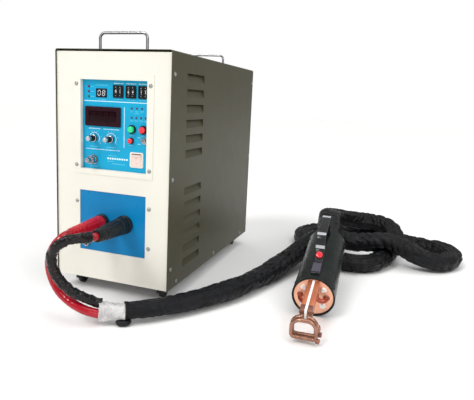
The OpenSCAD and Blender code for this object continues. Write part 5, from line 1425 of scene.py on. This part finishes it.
# ------------------------------------------------------------------ inside the cabinet
cans = []
for x in (58, 116, 174, 232):
    c_ = turnz(rounded([(26, 40.6), (26, 148), (26.2, 150), (26.2, 152.6), (25.2, 155.6), (23.8, 156), (23.4, 154.6), (0, 154.6)], 0.6), 72)
    cans.append(at(c_, x, 110, 0))
o = new_obj("capacitor_cans", *join_mesh(cans), "capacitor_can", "cabinet")
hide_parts("capacitor_bank")
cb = [bev_box((30, 60, Z0 + 1.5), (260, 160, Z0 + 4.5), 0.4, 2)]
for x in (58, 116, 174, 232):
    cb.append(at(turnz(rounded([(6, 154), (6, 163.4), (5.4, 164), (3, 164), (3, 161), (0, 161)], 0.3), 40), x, 110, 0))
    cb.append(at(turnz([(0, 158.6), (9.5, 158.6), (10, 158.2), (10, 155.2), (9.5, 154.8), (0, 154.8)], 6), x, 110, 0))
cb.append(bev_box((52, 104, 164.05), (238, 116, 165.9), 0.3, 2))
o = new_obj("capacitor_bus", *join_mesh(cb), "copper", "cabinet")
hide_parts("capacitor_bank")
bd = [bev_box((50, 182, Z0 + 102), (240, 418, Z0 + 103.6), 0.25, 1)]
o = new_obj("board_sheet", *join_mesh(bd), "circuit_board", "cabinet")
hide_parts("control_board")
st = [at(turnz([(3.5, Z0 + 54), (3.5, Z0 + 102)], 6), x, y_, 0) for x in (62, 228) for y_ in (190, 410)]
for (a, b, h_, m__) in (((70, 210), (120, 262), 140, 0), ((140, 210), (166, 236), 122, 0), ((178, 210), (204, 236), 122, 0), ((150, 300), (190, 340), 108, 0)):
    st.append(bev_box((a[0], a[1], Z0 + 103.6), (b[0], b[1], Z0 + h_), 1.0, 2))
for k in range(11):
    for s_ in (0, 1):
        st.append(bev_box((152 + k * 3.4, 297 if s_ == 0 else 340, Z0 + 103.7), (153.4 + k * 3.4, 300 if s_ == 0 else 343, Z0 + 106), 0.15, 1))
for k in range(8):
    st.append(bev_box((60 + k * 7, 190, Z0 + 103.6), (65 + k * 7, 202, Z0 + 113), 0.4, 1))
o = new_obj("board_parts", *join_mesh(st), "black_plastic", "cabinet")
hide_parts("control_board")
ec = [at(turnz(rounded([(9, Z0 + 103.6), (9, Z0 + 128), (8.6, Z0 + 130), (7.6, Z0 + 130), (7.4, Z0 + 129.4), (0, Z0 + 129.4)], 0.3), 48), x, 380, 0) for x in (80, 104, 128)]
o = new_obj("board_capacitors", *join_mesh(ec), "capacitor_can", "cabinet")
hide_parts("control_board")
# the finned cold plate keeps its CAD shape; the cover, panels, cold plate, base, fan and castor forks get a small bevel
# on their edges
for nn, wdt in (("wrap_cover", 0.0004), ("front_panel", 0.0003), ("rear_panel", 0.0003), ("control_bezel", 0.0005), ("control_panel", 0.0003), ("output_panel", 0.0004), ("cold_plate", 0.0006), ("base_pan", 0.0004), ("cooling_fan", 0.0005),
                ("castor_fork_fl", 0.0004), ("castor_fork_fr", 0.0004), ("castor_fork_rl", 0.0004), ("castor_fork_rr", 0.0004)):
    ob_ = frame["nodes"][nn]
    bv = ob_.modifiers.new("edges", "BEVEL")
    bv.width, bv.segments, bv.limit_method, bv.angle_limit = wdt, 2, "ANGLE", math.radians(40)

# ------------------------------------------------------------------ stage and light
def floor_mat():
    m = bpy.data.materials.new("floor")
    m.use_nodes = True
    b = m.node_tree.nodes["Principled BSDF"]
    b.inputs["Base Color"].default_value = (0.90, 0.90, 0.895, 1)
    b.inputs["Roughness"].default_value = 0.85
    b.inputs["Specular IOR Level"].default_value = 0.2
    return m


me = bpy.data.meshes.new("floor")
me.from_pydata([(-14, -14, -0.0006), (14, -14, -0.0006), (14, 14, -0.0006), (-14, 14, -0.0006)], [], [(0, 1, 2, 3)])
floor = bpy.data.objects.new("floor", me)
me.materials.append(floor_mat())
bpy.context.scene.collection.objects.link(floor)

world = bpy.data.worlds.new("studio")
bpy.context.scene.world = world
world.use_nodes = True
wt = world.node_tree
bg = wt.nodes["Background"]
bg.inputs[0].default_value = (1.0, 1.0, 1.0, 1)
bg.inputs[1].default_value = 0.40
# the backdrop itself is plain white, the light that comes from it softer
bg2 = wt.nodes.new("ShaderNodeBackground")
bg2.inputs[0].default_value = (1.0, 1.0, 1.0, 1)
bg2.inputs[1].default_value = 1.0
lp = wt.nodes.new("ShaderNodeLightPath")
mxs = wt.nodes.new("ShaderNodeMixShader")
wt.links.new(lp.outputs["Is Camera Ray"], mxs.inputs[0])
wt.links.new(bg.outputs[0], mxs.inputs[1])
wt.links.new(bg2.outputs[0], mxs.inputs[2])
wt.links.new(mxs.outputs[0], wt.nodes["World Output"].inputs["Surface"])


def sun(name, loc, strength, angle, color=(1, 1, 1)):
    ld = bpy.data.lights.new(name, "SUN")
    ld.energy = strength
    ld.angle = math.radians(angle)
    ld.color = color
    ob = bpy.data.objects.new(name, ld)
    bpy.context.scene.collection.objects.link(ob)
    ob.location = loc
    ob.rotation_euler = (-Vector(loc)).to_track_quat("-Z", "Y").to_euler()
    return ob


def area(name, loc, target, size, power, color=(1, 1, 1)):
    ld = bpy.data.lights.new(name, "AREA")
    ld.shape = "RECTANGLE"
    ld.size, ld.size_y = size
    ld.energy = power
    ld.color = color
    ob = bpy.data.objects.new(name, ld)
    bpy.context.scene.collection.objects.link(ob)
    ob.location = loc
    ob.rotation_euler = (Vector(target) - Vector(loc)).to_track_quat("-Z", "Y").to_euler()
    return ob


sun("sun_key", (-0.9, -1.7, 2.0), 1.45, 22, (1.0, 0.99, 0.97))
sun("sun_front", (1.5, -2.2, 1.0), 0.55, 35)
sun("sun_top", (0.5, 0.3, 3.0), 1.15, 55)
area("soft_left", (-1.5, -1.6, 1.6), (0, 0, 0.25), (0.9, 1.4), 9)
area("soft_right", (1.7, -0.9, 1.7), (0.2, 0, 0.2), (0.8, 1.2), 12)
